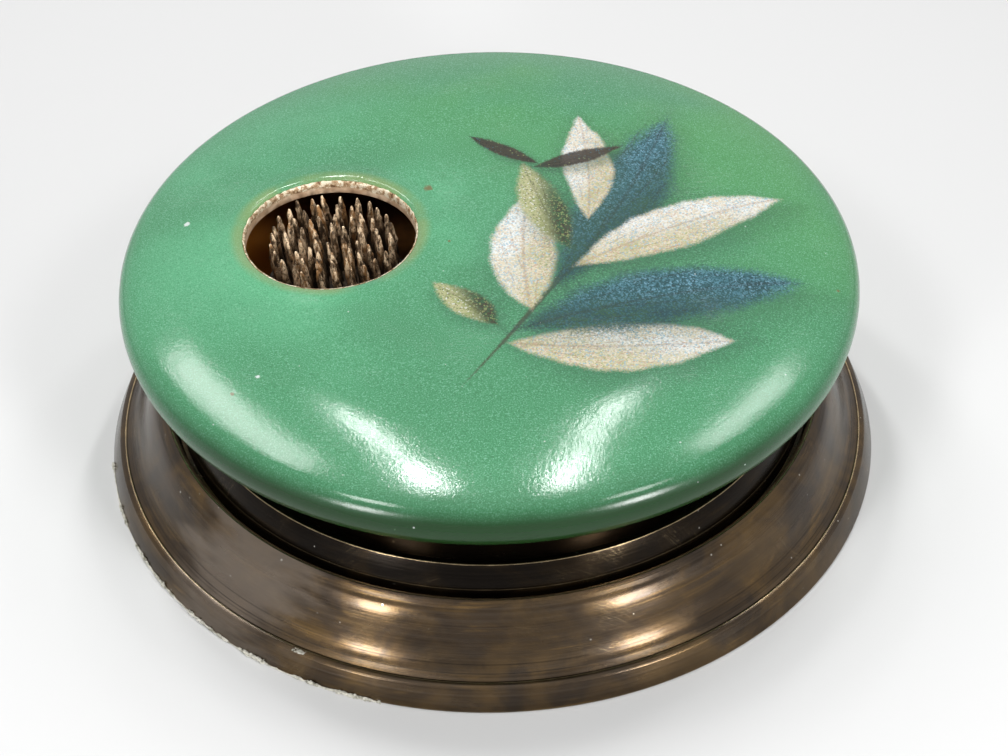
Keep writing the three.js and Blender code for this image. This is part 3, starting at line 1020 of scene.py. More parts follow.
# %% Sifted colours
def sifted(tree, where, first, second, accents):
    """Two tones mixed grain by grain, with a few grains of each accent colour."""
    cells = add(tree, "ShaderNodeTexVoronoi", {"Vector": where, "Scale": 2300.0}).outputs["Color"]
    draw = add(tree, "ShaderNodeSeparateColor", {0: cells}).outputs
    cloud = speckle(tree, where, 130.0, 3.0)
    share = calc(tree, "ADD", times(tree, draw["Red"], 0.55), times(tree, cloud, 0.9))
    tint = mix(tree, band(tree, share, 0.42, 1.0), first, second)
    level = 1.0
    for accent, part in accents:
        inside = calc(tree, "GREATER_THAN", draw["Green"], level - part)
        below = calc(tree, "LESS_THAN", draw["Green"], level)
        chosen = times(tree, inside, below)
        tint = mix(tree, times(tree, chosen, 0.62), tint, accent)
        level -= part
    return tint


# %% Ground, side and spots
def lay_ground(tree, where, split, grain, from_mouth):
    """Green glass that turns bluer beside the mouth and yellower to the back, with its sugar grain."""
    clouds = speckle(tree, where, 16.0, 3.0)
    blue = times(tree, band(tree, from_mouth, 95 * MM, 30 * MM), band(tree, clouds, 0.30, 0.60))
    ground = mix(tree, blue, GREEN, BLUE_GREEN)
    to_back = calc(tree, "ADD", times(tree, split["X"], 0.7), split["Y"])
    yellow = times(tree, band(tree, to_back, 0, 100 * MM), band(tree, clouds, 0.64, 0.40))
    ground = mix(tree, yellow, ground, YELLOW_GREEN)
    ground = mix(tree, band(tree, grain, 0.50, 0.72, 0, 0.50), ground, PALE_GRAIN)
    return mix(tree, band(tree, grain, 0.48, 0.28, 0, 0.45), ground, DEEP_GREEN)


def lay_side_shade(tree, where, split):
    """Painted shade: how far the side is darkened from the bend downwards, most of all in front."""
    top = edge_top[1]
    level = calc(tree, "ADD", split["Z"], wander(tree, where, 40.0, 3.0, 2.5 * MM))
    front = band(tree, split["Y"], -30 * MM, -96 * MM, 0.30, 1.0)
    return times(tree, band(tree, level, top + 2.4 * MM, top - 5.2 * MM), front)


def lay_lip(tree, where, from_mouth):
    """How thin the enamel has run round the lip."""
    uneven = band(tree, speckle(tree, where, 60.0), 0.25, 0.60)
    return times(tree, band(tree, from_mouth, 31.0 * MM, 27.6 * MM, 0, 0.50), uneven)


def lay_spots(tree, where, flat, tint):
    """A few rust spots and chips that stand out, each with a ragged edge."""
    ragged = wander(tree, where, 900.0, 3.0, 1.6)
    for x, y, width, kind in SPOTS:
        away = distance(tree, flat, (x * MM, y * MM, 0))
        share = calc(tree, "ADD", calc(tree, "DIVIDE", away, width * MM / 2), ragged)
        spot = band(tree, share, 1.1, 0.5, 0, 0.75)
        tint = mix(tree, spot, tint, RUST if kind == "rust" else COOL_WHITE)
    return tint


def lay_wear(tree, where, split, tint):
    """Rust specks, pale pits and, above the side alone, fine scratches."""
    few = place(tree, SPECKS, Vector=where, Spacing=30 * MM, Share=0.20, Dot=0.022)["Mask"]
    tint = mix(tree, times(tree, few, 0.6), tint, RUST)
    pits = place(tree, SPECKS, Vector=where, Spacing=4.5 * MM, Share=0.30, Dot=0.060)["Mask"]
    tint = mix(tree, times(tree, pits, 0.50), tint, COOL_WHITE)
    marks = place(tree, SCRATCHES, Vector=where, Length=10 * MM, Amount=0.20)["Mask"]
    upper = band(tree, split["Z"], edge_top[1] - 0.5 * MM, edge_top[1] + 1.0 * MM)
    return mix(tree, times(tree, marks, upper), tint, COOL_WHITE)


# %% Lay the design
def lay_design(tree, where, tint):
    """Lays stems, shadows and leaves over the ground."""
    finishes = {
        "pale": (
            sifted(tree, where, WHITE_CREAM, PALE_OCHRE, ((SKY, 0.14), (ROSE, 0.16), (OLIVE, 0.06))),
            sifted(tree, where, COOL_WHITE, WHITE_CREAM, ((SKY, 0.20), (ROSE, 0.07))),
        ),
        "teal": (
            sifted(tree, where, DEEP_TEAL, SPRAY_SHADOW, ((MID_TEAL, 0.25),)),
            sifted(tree, where, MID_TEAL, DEEP_TEAL, ((DUSK_BLUE, 0.30), (SKY, 0.08))),
        ),
        "olive": (
            sifted(tree, where, BARK, DEEP_GREEN, ((OLIVE, 0.20),)),
            sifted(tree, where, OLIVE, PALE_OCHRE, ((COOL_WHITE, 0.08), (BARK, 0.08))),
        ),
        "bark": (
            sifted(tree, where, BARK, DARK_BARK, ((OLIVE, 0.04),)),
            sifted(tree, where, DARK_BARK, BARK, ((MID_TEAL, 0.08),)),
        ),
    }
    for foot, angle, length, half_width, bend in STEMS:
        stem = leaf_at(tree, where, foot, angle, length, half_width, bend, STEM_SOFTNESS)
        tint = mix(tree, times(tree, stem["Mask"], 0.8), tint, BARK)
    for finish, foot, angle, length, half_width, bend in LEAVES:
        shadow_foot = (foot[0] + SHADOW_SHIFT[0], foot[1] + SHADOW_SHIFT[1])
        shadow = leaf_at(
            tree, where, shadow_foot, angle, length * SHADOW_LENGTH, half_width * SHADOW_WIDTH, bend,
            SHADOW_SOFTNESS,
        )
        tint = mix(tree, times(tree, shadow["Mask"], 0.55), tint, SPRAY_SHADOW)
        leaf = leaf_at(tree, where, foot, angle, length, half_width, bend, SOFTNESS[finish])
        near, far = finishes[finish]
        side = band(tree, leaf["Across"], -0.8, 0.8, -0.35, 0.35)
        inner = mix(tree, band(tree, calc(tree, "ADD", leaf["Along"], side), 0.10, 0.85), near, far)
        tint = mix(tree, times(tree, leaf["Mask"], 0.94), tint, inner)
        tint = mix(tree, lay_veins(tree, where, leaf), tint, VEIN if finish == "pale" else DARK_BARK)
    return tint


def lay_veins(tree, where, leaf):
    """One middle vein and finer ones that run beside it, broken up like grains that have sunk in."""
    across = calc(tree, "ABSOLUTE", leaf["Across"])
    middle = band(tree, across, 0.09, 0.0, 0, 0.30)
    wave = calc(tree, "SINE", times(tree, calc(tree, "SUBTRACT", across, leaf["Along"]), 17.0))
    beside = band(tree, wave, 0.86, 1.0, 0, 0.38)
    broken = band(tree, speckle(tree, where, 420.0, 3.0, 0.6), 0.42, 0.62)
    shown = calc(tree, "MAXIMUM", middle, times(tree, beside, broken))
    return times(tree, shown, leaf["Mask"])


def leaf_at(tree, where, foot, angle, length, half_width, bend, softness):
    """Places the leaf group from measures in mm and degrees."""
    return place(
        tree, LEAF, Vector=where, Location=(foot[0] * MM, foot[1] * MM, 0),
        Rotation=(0, 0, math.radians(angle)), Scale=(length * MM, half_width * MM, 1),
        Bend=bend, Softness=softness,
    )


# %% Enamel material
def make_enamel():
    made, tree, shader, where = material_of("green enamel", Specular_IOR_Level=0.36, IOR=1.5)
    grain = place(tree, GRAIN, Vector=where, Size=0.42 * MM)["Value"]
    split = parts_of(tree, where)
    flat = add(tree, "ShaderNodeCombineXYZ", {"X": split["X"], "Y": split["Y"]}).outputs[0]
    from_mouth = distance(tree, flat, (mouth_middle.x, mouth_middle.y, 0))
    tint = lay_ground(tree, where, split, grain, from_mouth)
    # The side, darkened with painted shade.
    tint = mix(tree, lay_side_shade(tree, where, split), tint, SIDE_SHADE_GREEN)
    tint = mix(tree, lay_lip(tree, where, from_mouth), tint, THIN_ENAMEL)
    tint = lay_design(tree, where, tint)
    tint = lay_spots(tree, where, flat, tint)
    tint = lay_wear(tree, where, split, tint)
    below = band(tree, split["Z"], edge_top[1] - 1.0 * MM, edge_top[1] - 3.0 * MM, 0, 0.11)
    rough = calc(tree, "ADD", band(tree, grain, 0.3, 0.7, 0.09, 0.13), below)
    normal = relief(tree, speckle(tree, where, 90.0, 2.0), 0.05 * MM)
    normal = relief(tree, grain, 0.006 * MM, normal)
    sugar = place(tree, GRAIN, Vector=where, Size=0.95 * MM)["Value"]
    normal = relief(tree, sugar, 0.026 * MM, normal)
    feed(tree, shader, Base_Color=tint, Roughness=rough, Normal=normal)
    return made


enamel = make_enamel()
print(enamel.name, "has", len(enamel.node_tree.nodes), "nodes")

# %% [markdown]
# ## The inside of the vessel
#
# The inside is brown copper oxide under a thin clear enamel. Hardly any light gets in, so a warm
# base colour, and an orange band towards one side, paint in the faint orange glow of light through
# the mouth that shows beside the pin holder.

# %% Inside of the vessel
OXIDE_BROWN = colour(0.120, 0.048, 0.014)
OXIDE_RED = colour(0.240, 0.100, 0.028)
PAINTED_GLOW_ORANGE = colour(0.700, 0.270, 0.035)


def make_inside():
    made, tree, shader, where = material_of("inner copper", Metallic=0.15, Roughness=0.45)
    stains = place(tree, PATCHES, Vector=where, Size=18 * MM, Cover=0.5, Edge=0.15)["Mask"]
    tint = mix(tree, stains, OXIDE_BROWN, OXIDE_RED)
    # Orange towards the left of the inside: a painted glow of the light that comes in through the mouth.
    painted_glow = band(tree, parts_of(tree, where)["X"], mouth_middle.x - 8 * MM, mouth_middle.x - 34 * MM)
    tint = mix(tree, painted_glow, tint, PAINTED_GLOW_ORANGE)
    grain = place(tree, GRAIN, Vector=where, Size=0.8 * MM)["Value"]
    feed(tree, shader, Base_Color=tint, Normal=relief(tree, grain, 0.03 * MM))
    return made


inner_copper = make_inside()
shell = finish_piece(
    make_shell(), "enamelled_shell", "vessel", [enamel, inner_copper],
    ["vessel_top", "vessel_bottom"],
)
wall = shell.modifiers.new("wall", "SOLIDIFY")
wall.thickness = SKIN_WALL
wall.offset = -1
wall.material_offset = 1
wall.material_offset_rim = 1

# %% [markdown]
# ## The raw edge of the mouth
#
# Inside the lip the enamel stops and the bare edge of a copper collar shows. It was filed by hand and
# is crusted, so its top is lumpy. The collar is spun about its own axis, its points are pushed about
# by noise, and only then is it laid on the mouth's tilted frame.

# %% Collar
COLLAR_STEPS = 320
COLLAR_SHOULDER = 2.6 * MM
# The lumpy edge, from outside inwards: how far it stands off the bore and below the crown, in mm.
EDGE_PROFILE = (
    (0.72, 1.50), (0.72, 0.85), (0.52, 0.58), (0.28, 0.62), (0.06, 0.95), (-0.06, 1.50), (-0.06, 2.10),
    (0.10, 2.70), (0.06, 3.20), (0.00, 3.90),
)
LUMPY_FROM = 3.2 * MM
LUMPY_OVER = 1.4 * MM
LUMP_HEIGHT = 0.15 * MM
WAVE_HEIGHT = 0.20 * MM
LUMP_DEPTH = 0.17 * MM
WALL_LUMP_DEPTH = 0.03 * MM


def make_collar():
    outline = [
        (MOUTH_BORE, -COLLAR_DEPTH, 0.2 * MM),
        (MOUTH_BORE + COLLAR_WALL, -COLLAR_DEPTH, 0.2 * MM),
        (MOUTH_BORE + COLLAR_WALL, -COLLAR_SHOULDER, 0),
    ]
    outline += [(MOUTH_BORE + out * MM, -below * MM, 0) for out, below in EDGE_PROFILE]
    bm = spun(outline, COLLAR_STEPS)
    for point in bm.verts:
        lumps = noise.noise(point.co * 700) + 0.6 * noise.noise(point.co * 1800 + Vector((5, 0, 0)))
        waves = noise.noise(point.co * 140)
        near_top = min(max((point.co.z + LUMPY_FROM) / LUMPY_OVER, 0), 1)
        point.co.z += near_top * (LUMP_HEIGHT * lumps + WAVE_HEIGHT * waves)
        radial = Vector((point.co.x, point.co.y, 0)).normalized()
        point.co += radial * lumps * (near_top * LUMP_DEPTH + WALL_LUMP_DEPTH)
    bmesh.ops.transform(bm, matrix=mouth_frame, verts=bm.verts)
    return bm


# %% Raw copper edge
WALL_BROWN = colour(0.480, 0.320, 0.200)
WALL_TAN = colour(0.680, 0.510, 0.350)
CRUST_BROWN = colour(0.400, 0.260, 0.140)
CRUST_CREAM = colour(0.780, 0.690, 0.520)
CRUST_DARK = colour(0.110, 0.055, 0.024)
CRUST_DEPTH = 2.9 * MM


def make_raw_edge():
    """A crumbly cream edge above a smooth tan wall."""
    made, tree, shader, where = material_of("raw copper edge", Metallic=0.2, Specular_IOR_Level=0.4)
    crust = speckle(tree, where, 560.0, 5.0, 0.75)
    height = calc(tree, "ADD", parts_of(tree, where)["Z"], wander(tree, where, 240.0, 3.0, 1.6 * MM))
    level = mouth_frame.translation.z - CRUST_DEPTH
    crumbly = band(tree, height, level - 0.25 * MM, level + 0.25 * MM)
    stains = place(tree, PATCHES, Vector=where, Size=6 * MM, Cover=0.45, Edge=0.12)["Mask"]
    smooth = mix(tree, stains, WALL_BROWN, WALL_TAN)
    cream = mix(tree, band(tree, crust, 0.45, 0.56), CRUST_BROWN, CRUST_CREAM)
    cream = mix(tree, band(tree, crust, 0.43, 0.36), cream, CRUST_DARK)
    tint = mix(tree, crumbly, smooth, cream)
    rough = band(tree, crust, 0.3, 0.7, 0.60, 0.40)
    feed(tree, shader, Base_Color=tint, Roughness=rough, Normal=relief(tree, crust, 0.10 * MM))
    return made


raw_edge = make_raw_edge()
finish_piece(make_collar(), "collar", "vessel", [raw_edge], ["mouth_collar"])

# %% [markdown]
# ## The foot of the vessel
#
# A plain copper hoop is soldered under the belly. It stands in the loose ring's recess, so it hardly
# shows until the vessel is lifted.

# %% Foot
FOOT_WIDTH = 6 * MM
foot_copper = make_bronze("foot copper", [(foot_high.x, foot_low.z, 0.7 * MM, 0.6)], 0.7)
finish_piece(
    spun([
        (foot_high.x - FOOT_WIDTH, foot_low.z, 0.5 * MM),
        (foot_high.x, foot_low.z, 0.8 * MM),
        (foot_high.x, foot_high.z, 0.2 * MM),
        (foot_high.x - FOOT_WIDTH, foot_high.z, 0.2 * MM),
    ]),
    "foot", "vessel", [foot_copper], ["foot_ring"],
)

# %% [markdown]
# ## The pin holder
#
# A heavy lead disc stands on the vessel's floor and holds some sixty brass needles. They were cast in
# upright, but years of stems have bent the bed over to one side, and each needle a little its own
# way. The needles are the most looked-at part inside the mouth, so each one is spun, roughened by
# noise and leaned by seeded random numbers. Their rings and spacing are those of the frame's bed.

# %% Pin holder base
base_low, base_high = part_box("kenzan_base")
bed_low, bed_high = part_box("kenzan_needles")
BASE_RADIUS = (base_high.x - base_low.x) / 2
base_centre = (base_low + base_high) / 2
BASE_ROUNDING = 1 * MM
DISC_STEPS = 96
LEAD_DARK = colour(0.060, 0.055, 0.048)
LEAD_PALE = colour(0.150, 0.135, 0.110)


def make_lead():
    made, tree, shader, where = material_of("dull lead", Metallic=0.6)
    stains = place(tree, PATCHES, Vector=where, Size=7 * MM, Cover=0.5, Edge=0.15)["Mask"]
    tint = mix(tree, stains, LEAD_DARK, LEAD_PALE)
    rough = band(tree, speckle(tree, where, 400.0), 0.3, 0.7, 0.5, 0.75)
    grain = place(tree, GRAIN, Vector=where, Size=0.9 * MM)["Value"]
    feed(tree, shader, Base_Color=tint, Roughness=rough, Normal=relief(tree, grain, 0.08 * MM))
    return made


def make_base():
    height = base_high.z - base_low.z
    side = [(BASE_RADIUS, 0, BASE_ROUNDING), (BASE_RADIUS, height, BASE_ROUNDING)]
    bm = spun([(0, 0, 0), *side, (0, height, 0)], DISC_STEPS, closed=False)
    bmesh.ops.translate(bm, vec=(base_centre.x, base_centre.y, base_low.z), verts=bm.verts)
    return bm


lead = make_lead()
finish_piece(make_base(), "pin_base", "kenzan", [lead], ["kenzan_base"])

# %% Needles
SLICE_RADIUS = BASE_RADIUS - 1.8 * MM
SLICE_THICKNESS = 1.5 * MM
NEEDLE_LENGTH = 18.5 * MM
NEEDLE_SIDES = 12
NEEDLE_ROOT = 0.6 * MM
NEEDLE_RINGS = 4
NEEDLE_RING_SPACING = 4.55 * MM
NEEDLE_PITCH = 4.4 * MM
NEEDLE_LEAN = math.radians(5)
NEEDLE_LEAN_SPREAD = math.radians(1.8)
NEEDLE_LENGTH_SPREAD = 0.5 * MM
NEEDLE_LUMPS = 0.42
# Share of the length and radius in mm, from the root to the worn tip.
NEEDLE_TAPER = (
    (0.00, 1.30), (0.14, 1.28), (0.26, 1.25), (0.37, 1.22), (0.47, 1.18), (0.56, 1.12), (0.64, 1.06),
    (0.71, 0.99), (0.78, 0.90), (0.84, 0.80), (0.89, 0.69), (0.93, 0.58), (0.965, 0.45), (0.99, 0.28),
)


def needle_places():
    """One needle in the middle, then even rings, each turned by half a pitch against the last."""
    places = [(0, 0)]
    for ring in range(1, NEEDLE_RINGS + 1):
        radius = ring * NEEDLE_RING_SPACING
        count = round(math.tau * radius / NEEDLE_PITCH)
        for i in range(count):
            angle = math.tau * (i + ring / 2) / count
            places.append((radius * math.cos(angle), radius * math.sin(angle)))
    return places


print("the bed holds", len(needle_places()), "needles")

# %% Spin the needles
def add_needle(bm, x, y, draw):
    """Spins one needle about its own axis, roughens it, leans it and sets it on the slice."""
    length = NEEDLE_LENGTH - draw.random() * NEEDLE_LENGTH_SPREAD
    side = [(radius * MM, share * length) for share, radius in NEEDLE_TAPER]
    outline = [(0, -NEEDLE_ROOT), *side, (0, length)]
    fresh = [bm.verts.new((radius, 0, height)) for radius, height in outline]
    chain = [bm.edges.new(pair) for pair in zip(fresh, fresh[1:])]
    before = set(bm.verts)
    bmesh.ops.spin(
        bm, geom=fresh + chain, cent=(0, 0, 0), axis=(0, 0, 1), angle=math.tau,
        steps=NEEDLE_SIDES, use_merge=True,
    )
    points = fresh + [v for v in bm.verts if v not in before]
    shift = Vector((draw.uniform(0, 50), draw.uniform(0, 50), draw.uniform(0, 50)))
    for point in points:
        out = Vector((point.co.x, point.co.y, 0))
        lumps = noise.noise(point.co * 800 + shift) + 0.7 * noise.noise(point.co * 2100 + shift)
        point.co += out * NEEDLE_LUMPS * lumps
    lean = NEEDLE_LEAN + draw.gauss(0, 1) * NEEDLE_LEAN_SPREAD
    sway = draw.gauss(0, 1) * NEEDLE_LEAN_SPREAD
    turn = Matrix.Rotation(-lean, 4, "Y") @ Matrix.Rotation(sway, 4, "X")
    seat = Matrix.Translation((base_centre.x + x, base_centre.y + y, bed_low.z + SLICE_THICKNESS))
    bmesh.ops.transform(bm, matrix=seat @ turn, verts=points)


def make_needles():
    draw = random.Random(41)
    side = [(SLICE_RADIUS, 0, 0.2 * MM), (SLICE_RADIUS, SLICE_THICKNESS, 0.5 * MM)]
    bm = spun([(0, 0, 0), *side, (0, SLICE_THICKNESS, 0)], DISC_STEPS, closed=False)
    bmesh.ops.translate(bm, vec=(base_centre.x, base_centre.y, bed_low.z), verts=bm.verts)
    for x, y in needle_places():
        add_needle(bm, x, y, draw)
    bmesh.ops.remove_doubles(bm, verts=bm.verts, dist=SAME_POINT)
    return bm


# %% Needle brass
TARNISH = colour(0.050, 0.032, 0.018)
TARNISH_TAN = colour(0.380, 0.250, 0.140)
RUSTY_STAIN = colour(0.420, 0.220, 0.085)
LIME_CREAM = colour(0.940, 0.740, 0.500)
PIT_AND_SHADE_DARK = colour(0.018, 0.012, 0.008)


def make_needle_brass():
    """Dark tarnish and tan lime scale in patches, pale crusts towards the tips, and painted shade low down
    between the needles.
    """
    made, tree, shader, where = material_of("needle brass", Metallic=0.25, Specular_IOR_Level=0.35)
    height = parts_of(tree, where)["Z"]
    tip = band(tree, height, bed_high.z - 10 * MM, bed_high.z - 1.5 * MM)
    long_place = add(tree, "ShaderNodeMapping", {"Vector": where, "Scale": (1.0, 1.0, 0.40)}).outputs[0]
    crust = speckle(tree, long_place, 560.0, 5.0, 0.7)
    stain = speckle(tree, long_place, 230.0, 3.0, 0.6)
    pits = speckle(tree, where, 900.0, 3.0, 0.6)
    tint = mix(tree, band(tree, crust, 0.38, 0.60), TARNISH, TARNISH_TAN)
    tint = mix(tree, band(tree, stain, 0.50, 0.62, 0, 0.85), tint, RUSTY_STAIN)
    lime = times(tree, band(tree, crust, 0.47, 0.62), calc(tree, "ADD", 0.30, tip))
    tint = mix(tree, lime, tint, LIME_CREAM)
    dark = times(tree, band(tree, pits, 0.46, 0.36), calc(tree, "SUBTRACT", 1.0, times(tree, tip, 0.35)))
    # Darker low down in the bed: painted shade between the needles.
    low = band(tree, height, bed_high.z - 5 * MM, bed_high.z - 13 * MM, 0, 0.86)
    tint = mix(tree, calc(tree, "MAXIMUM", dark, low), tint, PIT_AND_SHADE_DARK)
    rough = band(tree, crust, 0.35, 0.65, 0.55, 0.80)
    feed(tree, shader, Base_Color=tint, Roughness=rough, Normal=relief(tree, crust, 0.16 * MM))
    return made


needle_brass = make_needle_brass()
finish_piece(make_needles(), "needles", "kenzan", [needle_brass], ["kenzan_needles"])

# %% [markdown]
# ## Under the plinth
#
# A brass sheet closes the hollow plinth, and a felt disc is glued under it, so that the vase can be
# turned on a lacquered table without marking it. Both are plain discs spun from an open outline. The
# felt is a little uneven at its rim, as pressed wool is when it has been cut with shears.

# %% Floor sheet
sheet_brass = make_bronze("sheet brass", [(floor_high.x, floor_high.z, 0.8 * MM, 0.3)], 0.8)
finish_piece(
    spun([
        (0, floor_low.z, 0),
        (floor_high.x, floor_low.z, 0.2 * MM),
        (floor_high.x, floor_high.z, 0.2 * MM),
        (0, floor_high.z, 0),
    ], closed=False),
    "floor_disc", "plinth", [sheet_brass], ["plinth_floor"],
)

# %% Felt
felt_low, felt_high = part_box("felt_pad")
FELT_MARGIN = 0.6 * MM
FELT_RIM = 1 * MM
FELT_UNEVEN = 0.3 * MM
FELT_DARK = colour(0.020, 0.032, 0.022)
FELT_GREEN = colour(0.060, 0.085, 0.060)
FELT_DUSTY = colour(0.085, 0.095, 0.070)


def make_felt_material():
    made, tree, shader, where = material_of(
        "green felt", Roughness=0.95, Sheen_Weight=0.4, Sheen_Roughness=0.6,
    )
    fibres = speckle(tree, where, 900.0, 5.0, 0.8)
    clouds = speckle(tree, where, 45.0, 3.0)
    tint = mix(tree, band(tree, fibres, 0.35, 0.65), FELT_DARK, FELT_GREEN)
    tint = mix(tree, band(tree, clouds, 0.5, 0.7, 0, 0.5), tint, FELT_DUSTY)
    feed(tree, shader, Base_Color=tint, Normal=relief(tree, fibres, 0.25 * MM))
    return made


def make_felt():
    """A disc of pressed wool: its rim is soft and a little uneven."""
    radius = felt_high.x - FELT_MARGIN
    side = [(radius, felt_low.z, 0.5 * MM), (radius, felt_high.z, 0.4 * MM)]
    bm = spun([(0, felt_low.z, 0), *side, (0, felt_high.z, 0)], closed=False)
    for point in bm.verts:
        out = Vector((point.co.x, point.co.y, 0))
        if out.length > radius - FELT_RIM:
            point.co += out.normalized() * noise.noise(point.co * 400) * FELT_UNEVEN
    return bm


# %% Felt disc
felt_material = make_felt_material()
felt = finish_piece(make_felt(), "felt_disc", "plinth", [felt_material], ["felt_pad"])

# %% [markdown]
# ## The glue crust
#
# Old glue has crept out under the left front of the rim and dried to a pale, crumbly line, and one
# flake of it sticks to the ridge. Each crumb is a small ball with few faces, squashed and turned by
# seeded random numbers. Noise along the rim decides where they heap up and where they are missing.

# %% Glue crust
CRUST_START = math.radians(-172)
CRUST_END = math.radians(-106)
CRUMBS = 2600
MISSING_BELOW = -0.62
SMALLEST_CRUMB = 0.15 * MM
CRUMB_GROWTH = 0.26 * MM
CRUST_INSET = 0.20 * MM
CRUST_WIDTH = 0.60 * MM
CRUST_HEIGHT = 1.2 * MM
CHIP_ANGLE = math.radians(-118.7)
CHIP_SPREAD = math.radians(0.45)
CHIP_CRUMBS = 60
CHIP_WIDTH = 1.3 * MM
CHIP_HEIGHT = 0.40 * MM
GLUE_GREY = colour(0.260, 0.250, 0.200)
GLUE_CREAM = colour(0.640, 0.620, 0.550)


def make_crust():
    """Crumbs in ragged clusters along the foot of the rim, and one chip of glue on the ridge."""
    draw = random.Random(17)
    bm = bmesh.new()
    for _ in range(CRUMBS):
        angle = CRUST_START + (CRUST_END - CRUST_START) * draw.random()
        outward = Vector((math.cos(angle), math.sin(angle), 0))
        heap = noise.noise(outward * 11) + 0.7 * noise.noise(outward * 47 + Vector((3, 0, 0)))
        if heap < MISSING_BELOW:
            continue
        plenty = min(max(0.60 + heap, 0.20), 1.0)
        size = SMALLEST_CRUMB + CRUMB_GROWTH * draw.random() * plenty
        out = PLINTH_RADIUS - CRUST_INSET + draw.random() * CRUST_WIDTH * plenty
        height = max(size, PLINTH_FOOT - CRUST_INSET + draw.random() * CRUST_HEIGHT * plenty)
        add_crumb(bm, draw, outward * out + Vector((0, 0, height)), size)
    for _ in range(CHIP_CRUMBS):
        angle = CHIP_ANGLE + draw.gauss(0, 1) * CHIP_SPREAD
        outward = Vector((math.cos(angle), math.sin(angle), 0))
        spot = outward * (ridge_radius - draw.random() * CHIP_WIDTH)
        spot.z = ridge_height + CHIP_HEIGHT
        add_crumb(bm, draw, spot, (0.12 + 0.18 * draw.random()) * MM)
    return bm


def add_crumb(bm, draw, spot, size):
    """A squashed ball that is turned and tipped by chance."""
    stretch = Matrix.Diagonal((1 + draw.random(), 0.7 + draw.random() * 0.5, 0.6 + draw.random() * 0.3, 1))
    turn = Matrix.Rotation(draw.random() * math.tau, 4, "Z")
    turn = turn @ Matrix.Rotation(draw.uniform(-0.6, 0.6), 4, "X")
    laid = Matrix.Translation(spot) @ turn @ stretch
    bmesh.ops.create_icosphere(bm, subdivisions=1, radius=size, matrix=laid)


def make_glue():
    made, tree, shader, where = material_of("dry glue", Roughness=0.85, Specular_IOR_Level=0.3)
    cloud = speckle(tree, where, 500.0, 4.0, 0.7)
    tint = mix(tree, band(tree, cloud, 0.35, 0.60), GLUE_GREY, GLUE_CREAM)
    feed(tree, shader, Base_Color=tint, Normal=relief(tree, cloud, 0.15 * MM))
    return made


dry_glue = make_glue()
finish_piece(make_crust(), "glue_crust", "plinth", [dry_glue])

# %% [markdown]
# ## The studio
#
# A pale floor, an even soft light from above and pale surroundings keep every colour as written. Far
# from the vase the floor fades to nearly the surroundings' white for the camera alone, so no horizon
# shows. Two pairs of long thin lamps stand behind the vase, where a polished crown mirrors them to
# the lens: each pair makes one of the two streaks on the front of the enamel. Two soft panels beside
# them light the shoulders. Two lamps high beside the camera give most of the light and the thin
# lines on the side of the enamel, and two low ones make the glow on the bronze. All of them lie on
# lines worked out by mirroring the view in the crown, the side and the plinth's slope.

# %% Floor and surroundings
FLOOR_SIZE = 8.0
FLOOR_GREY = 0.72
FLOOR_FADE_START = 0.55
FLOOR_FADE_END = 1.5
FAR_FLOOR = 0.82
WHITE_AROUND = 0.9
AMBIENT = 0.19
PURE_WHITE = colour(1, 1, 1)


def make_floor():
    bm = bmesh.new()
    bmesh.ops.create_grid(bm, x_segments=1, y_segments=1, size=FLOOR_SIZE / 2)
    floor = mesh_object(bm, "studio_floor")
    made, tree, shader, where = material_of("studio floor", Roughness=1.0, Specular_IOR_Level=0.0)
    shader.inputs["Base Color"].default_value = colour(FLOOR_GREY, FLOOR_GREY, FLOOR_GREY)
    away = add(tree, "ShaderNodeVectorMath", {0: where}, operation="LENGTH").outputs["Value"]
    path = tree.nodes.new("ShaderNodeLightPath").outputs
    far = times(tree, band(tree, away, FLOOR_FADE_START, FLOOR_FADE_END), path["Is Camera Ray"])
    pale = add(tree, "ShaderNodeEmission", {"Color": PURE_WHITE, "Strength": FAR_FLOOR}).outputs[0]
    shown = add(tree, "ShaderNodeMixShader", {0: far, 1: shader.outputs[0], 2: pale}).outputs[0]
    tree.links.new(shown, tree.nodes["Material Output"].inputs["Surface"])
    floor.data.materials.append(made)
    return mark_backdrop(floor)


def make_surroundings():
    """Nearly white to the camera, to gloss and to glass, and a plain grey light to everything else."""
    world = bpy.data.worlds.new("surroundings")
    world.use_nodes = True
    tree = world.node_tree
    tree.nodes.clear()
    path = tree.nodes.new("ShaderNodeLightPath").outputs
    seen = calc(tree, "MAXIMUM", path["Is Camera Ray"], path["Is Transmission Ray"])
    seen = calc(tree, "MAXIMUM", seen, path["Is Glossy Ray"])
    white = add(tree, "ShaderNodeBackground", {"Color": PURE_WHITE, "Strength": WHITE_AROUND}).outputs[0]
    grey = add(tree, "ShaderNodeBackground", {"Color": PURE_WHITE, "Strength": AMBIENT}).outputs[0]
    shown = add(tree, "ShaderNodeMixShader", {0: seen, 1: grey, 2: white}).outputs[0]
    add(tree, "ShaderNodeOutputWorld", {"Surface": shown})
    bpy.context.scene.world = world


make_floor()
make_surroundings()
print("floor", FLOOR_SIZE, "m wide, ambient light", AMBIENT)

# %% Lamps
LAMP_TARGET = Vector((0, 0, 70 * MM))
# Watts that a square metre of lamp takes for a brightness of one.
LAMP_POWER = 4


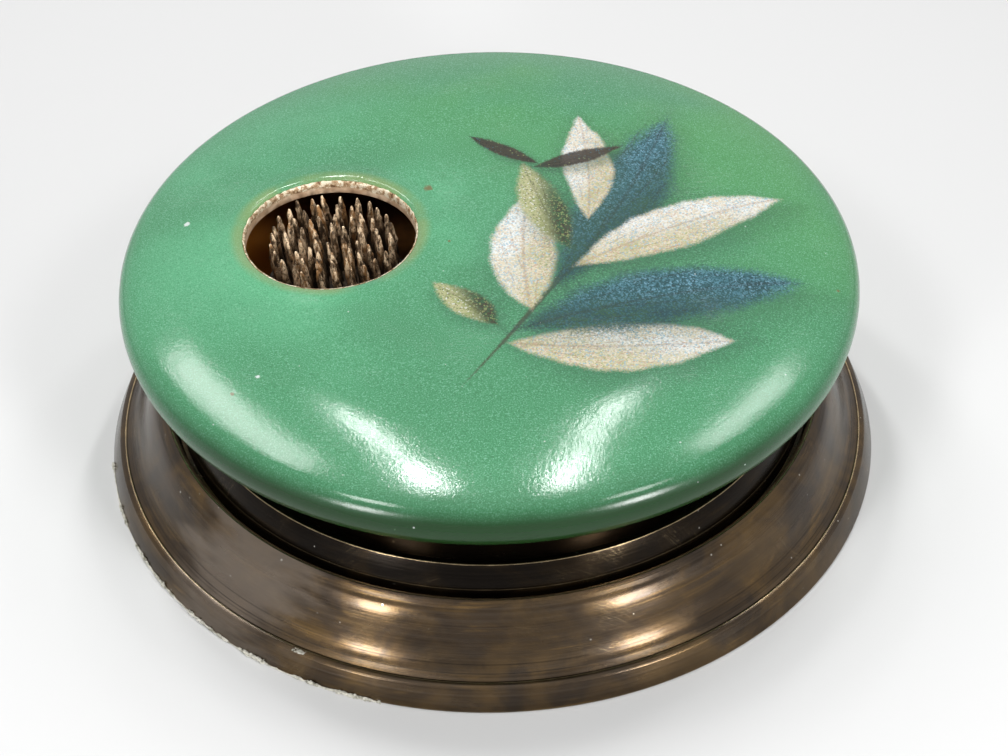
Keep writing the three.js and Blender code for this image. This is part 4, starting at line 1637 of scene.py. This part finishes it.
def make_lamp(name, spot, target, width, depth, brightness, along=None):
    """A rectangular lamp that faces a target. Its long side lies along a direction if one is given."""
    light = bpy.data.lights.new(name, "AREA")
    light.shape = "RECTANGLE"
    light.size = width
    light.size_y = depth
    light.energy = LAMP_POWER * brightness * width * depth
    lamp = bpy.data.objects.new(name, light)
    lamp.visible_camera = False
    bpy.context.scene.collection.objects.link(lamp)
    back = (spot - target).normalized()
    side = Vector((1, 0, 0)) if along is None else along
    side = (side - back * side.dot(back)).normalized()
    up = back.cross(side)
    lamp.matrix_world = Matrix.Translation(spot) @ Matrix((side, up, back)).transposed().to_4x4()
    return lamp


def make_streak_lamp(name, start, end, width, brightness):
    """A lamp that fills the line between two points, given in mm."""
    start, end = Vector(start) * MM, Vector(end) * MM
    middle = (start + end) / 2
    return make_lamp(name, middle, LAMP_TARGET, (end - start).length, width, brightness, end - start)


make_lamp("overhead", Vector((0, -50, 1600)) * MM, Vector((0, 0, 50)) * MM, 1100 * MM, 1000 * MM, 0.35)
make_streak_lamp("left streak", (-191, 517, 867), (-133, 311, 968), 28 * MM, 42)
make_streak_lamp("left streak end", (-133, 311, 968), (-104, 207, 1017), 44 * MM, 62)
make_streak_lamp("right streak", (149, 566, 838), (128, 320, 958), 28 * MM, 34)
make_streak_lamp("right streak end", (128, 320, 958), (117, 196, 1019), 40 * MM, 50)
make_streak_lamp("left panel", (-501, 561, 750), (-326, 257, 965), 110 * MM, 10)
make_streak_lamp("right panel", (489, 493, 800), (364, 289, 943), 90 * MM, 9)
make_lamp("left key", Vector((-470, -542, 915)) * MM, LAMP_TARGET, 180 * MM, 250 * MM, 13)
make_lamp("right key", Vector((540, -516, 892)) * MM, LAMP_TARGET, 200 * MM, 250 * MM, 10)
make_streak_lamp("left front", (-590, -880, 150), (-590, -880, 430), 170 * MM, 26)
make_streak_lamp("right front", (640, -830, 150), (640, -830, 430), 190 * MM, 32)
print("lamps made")

# %% Colour management
bpy.context.scene.view_settings.view_transform = "Standard"
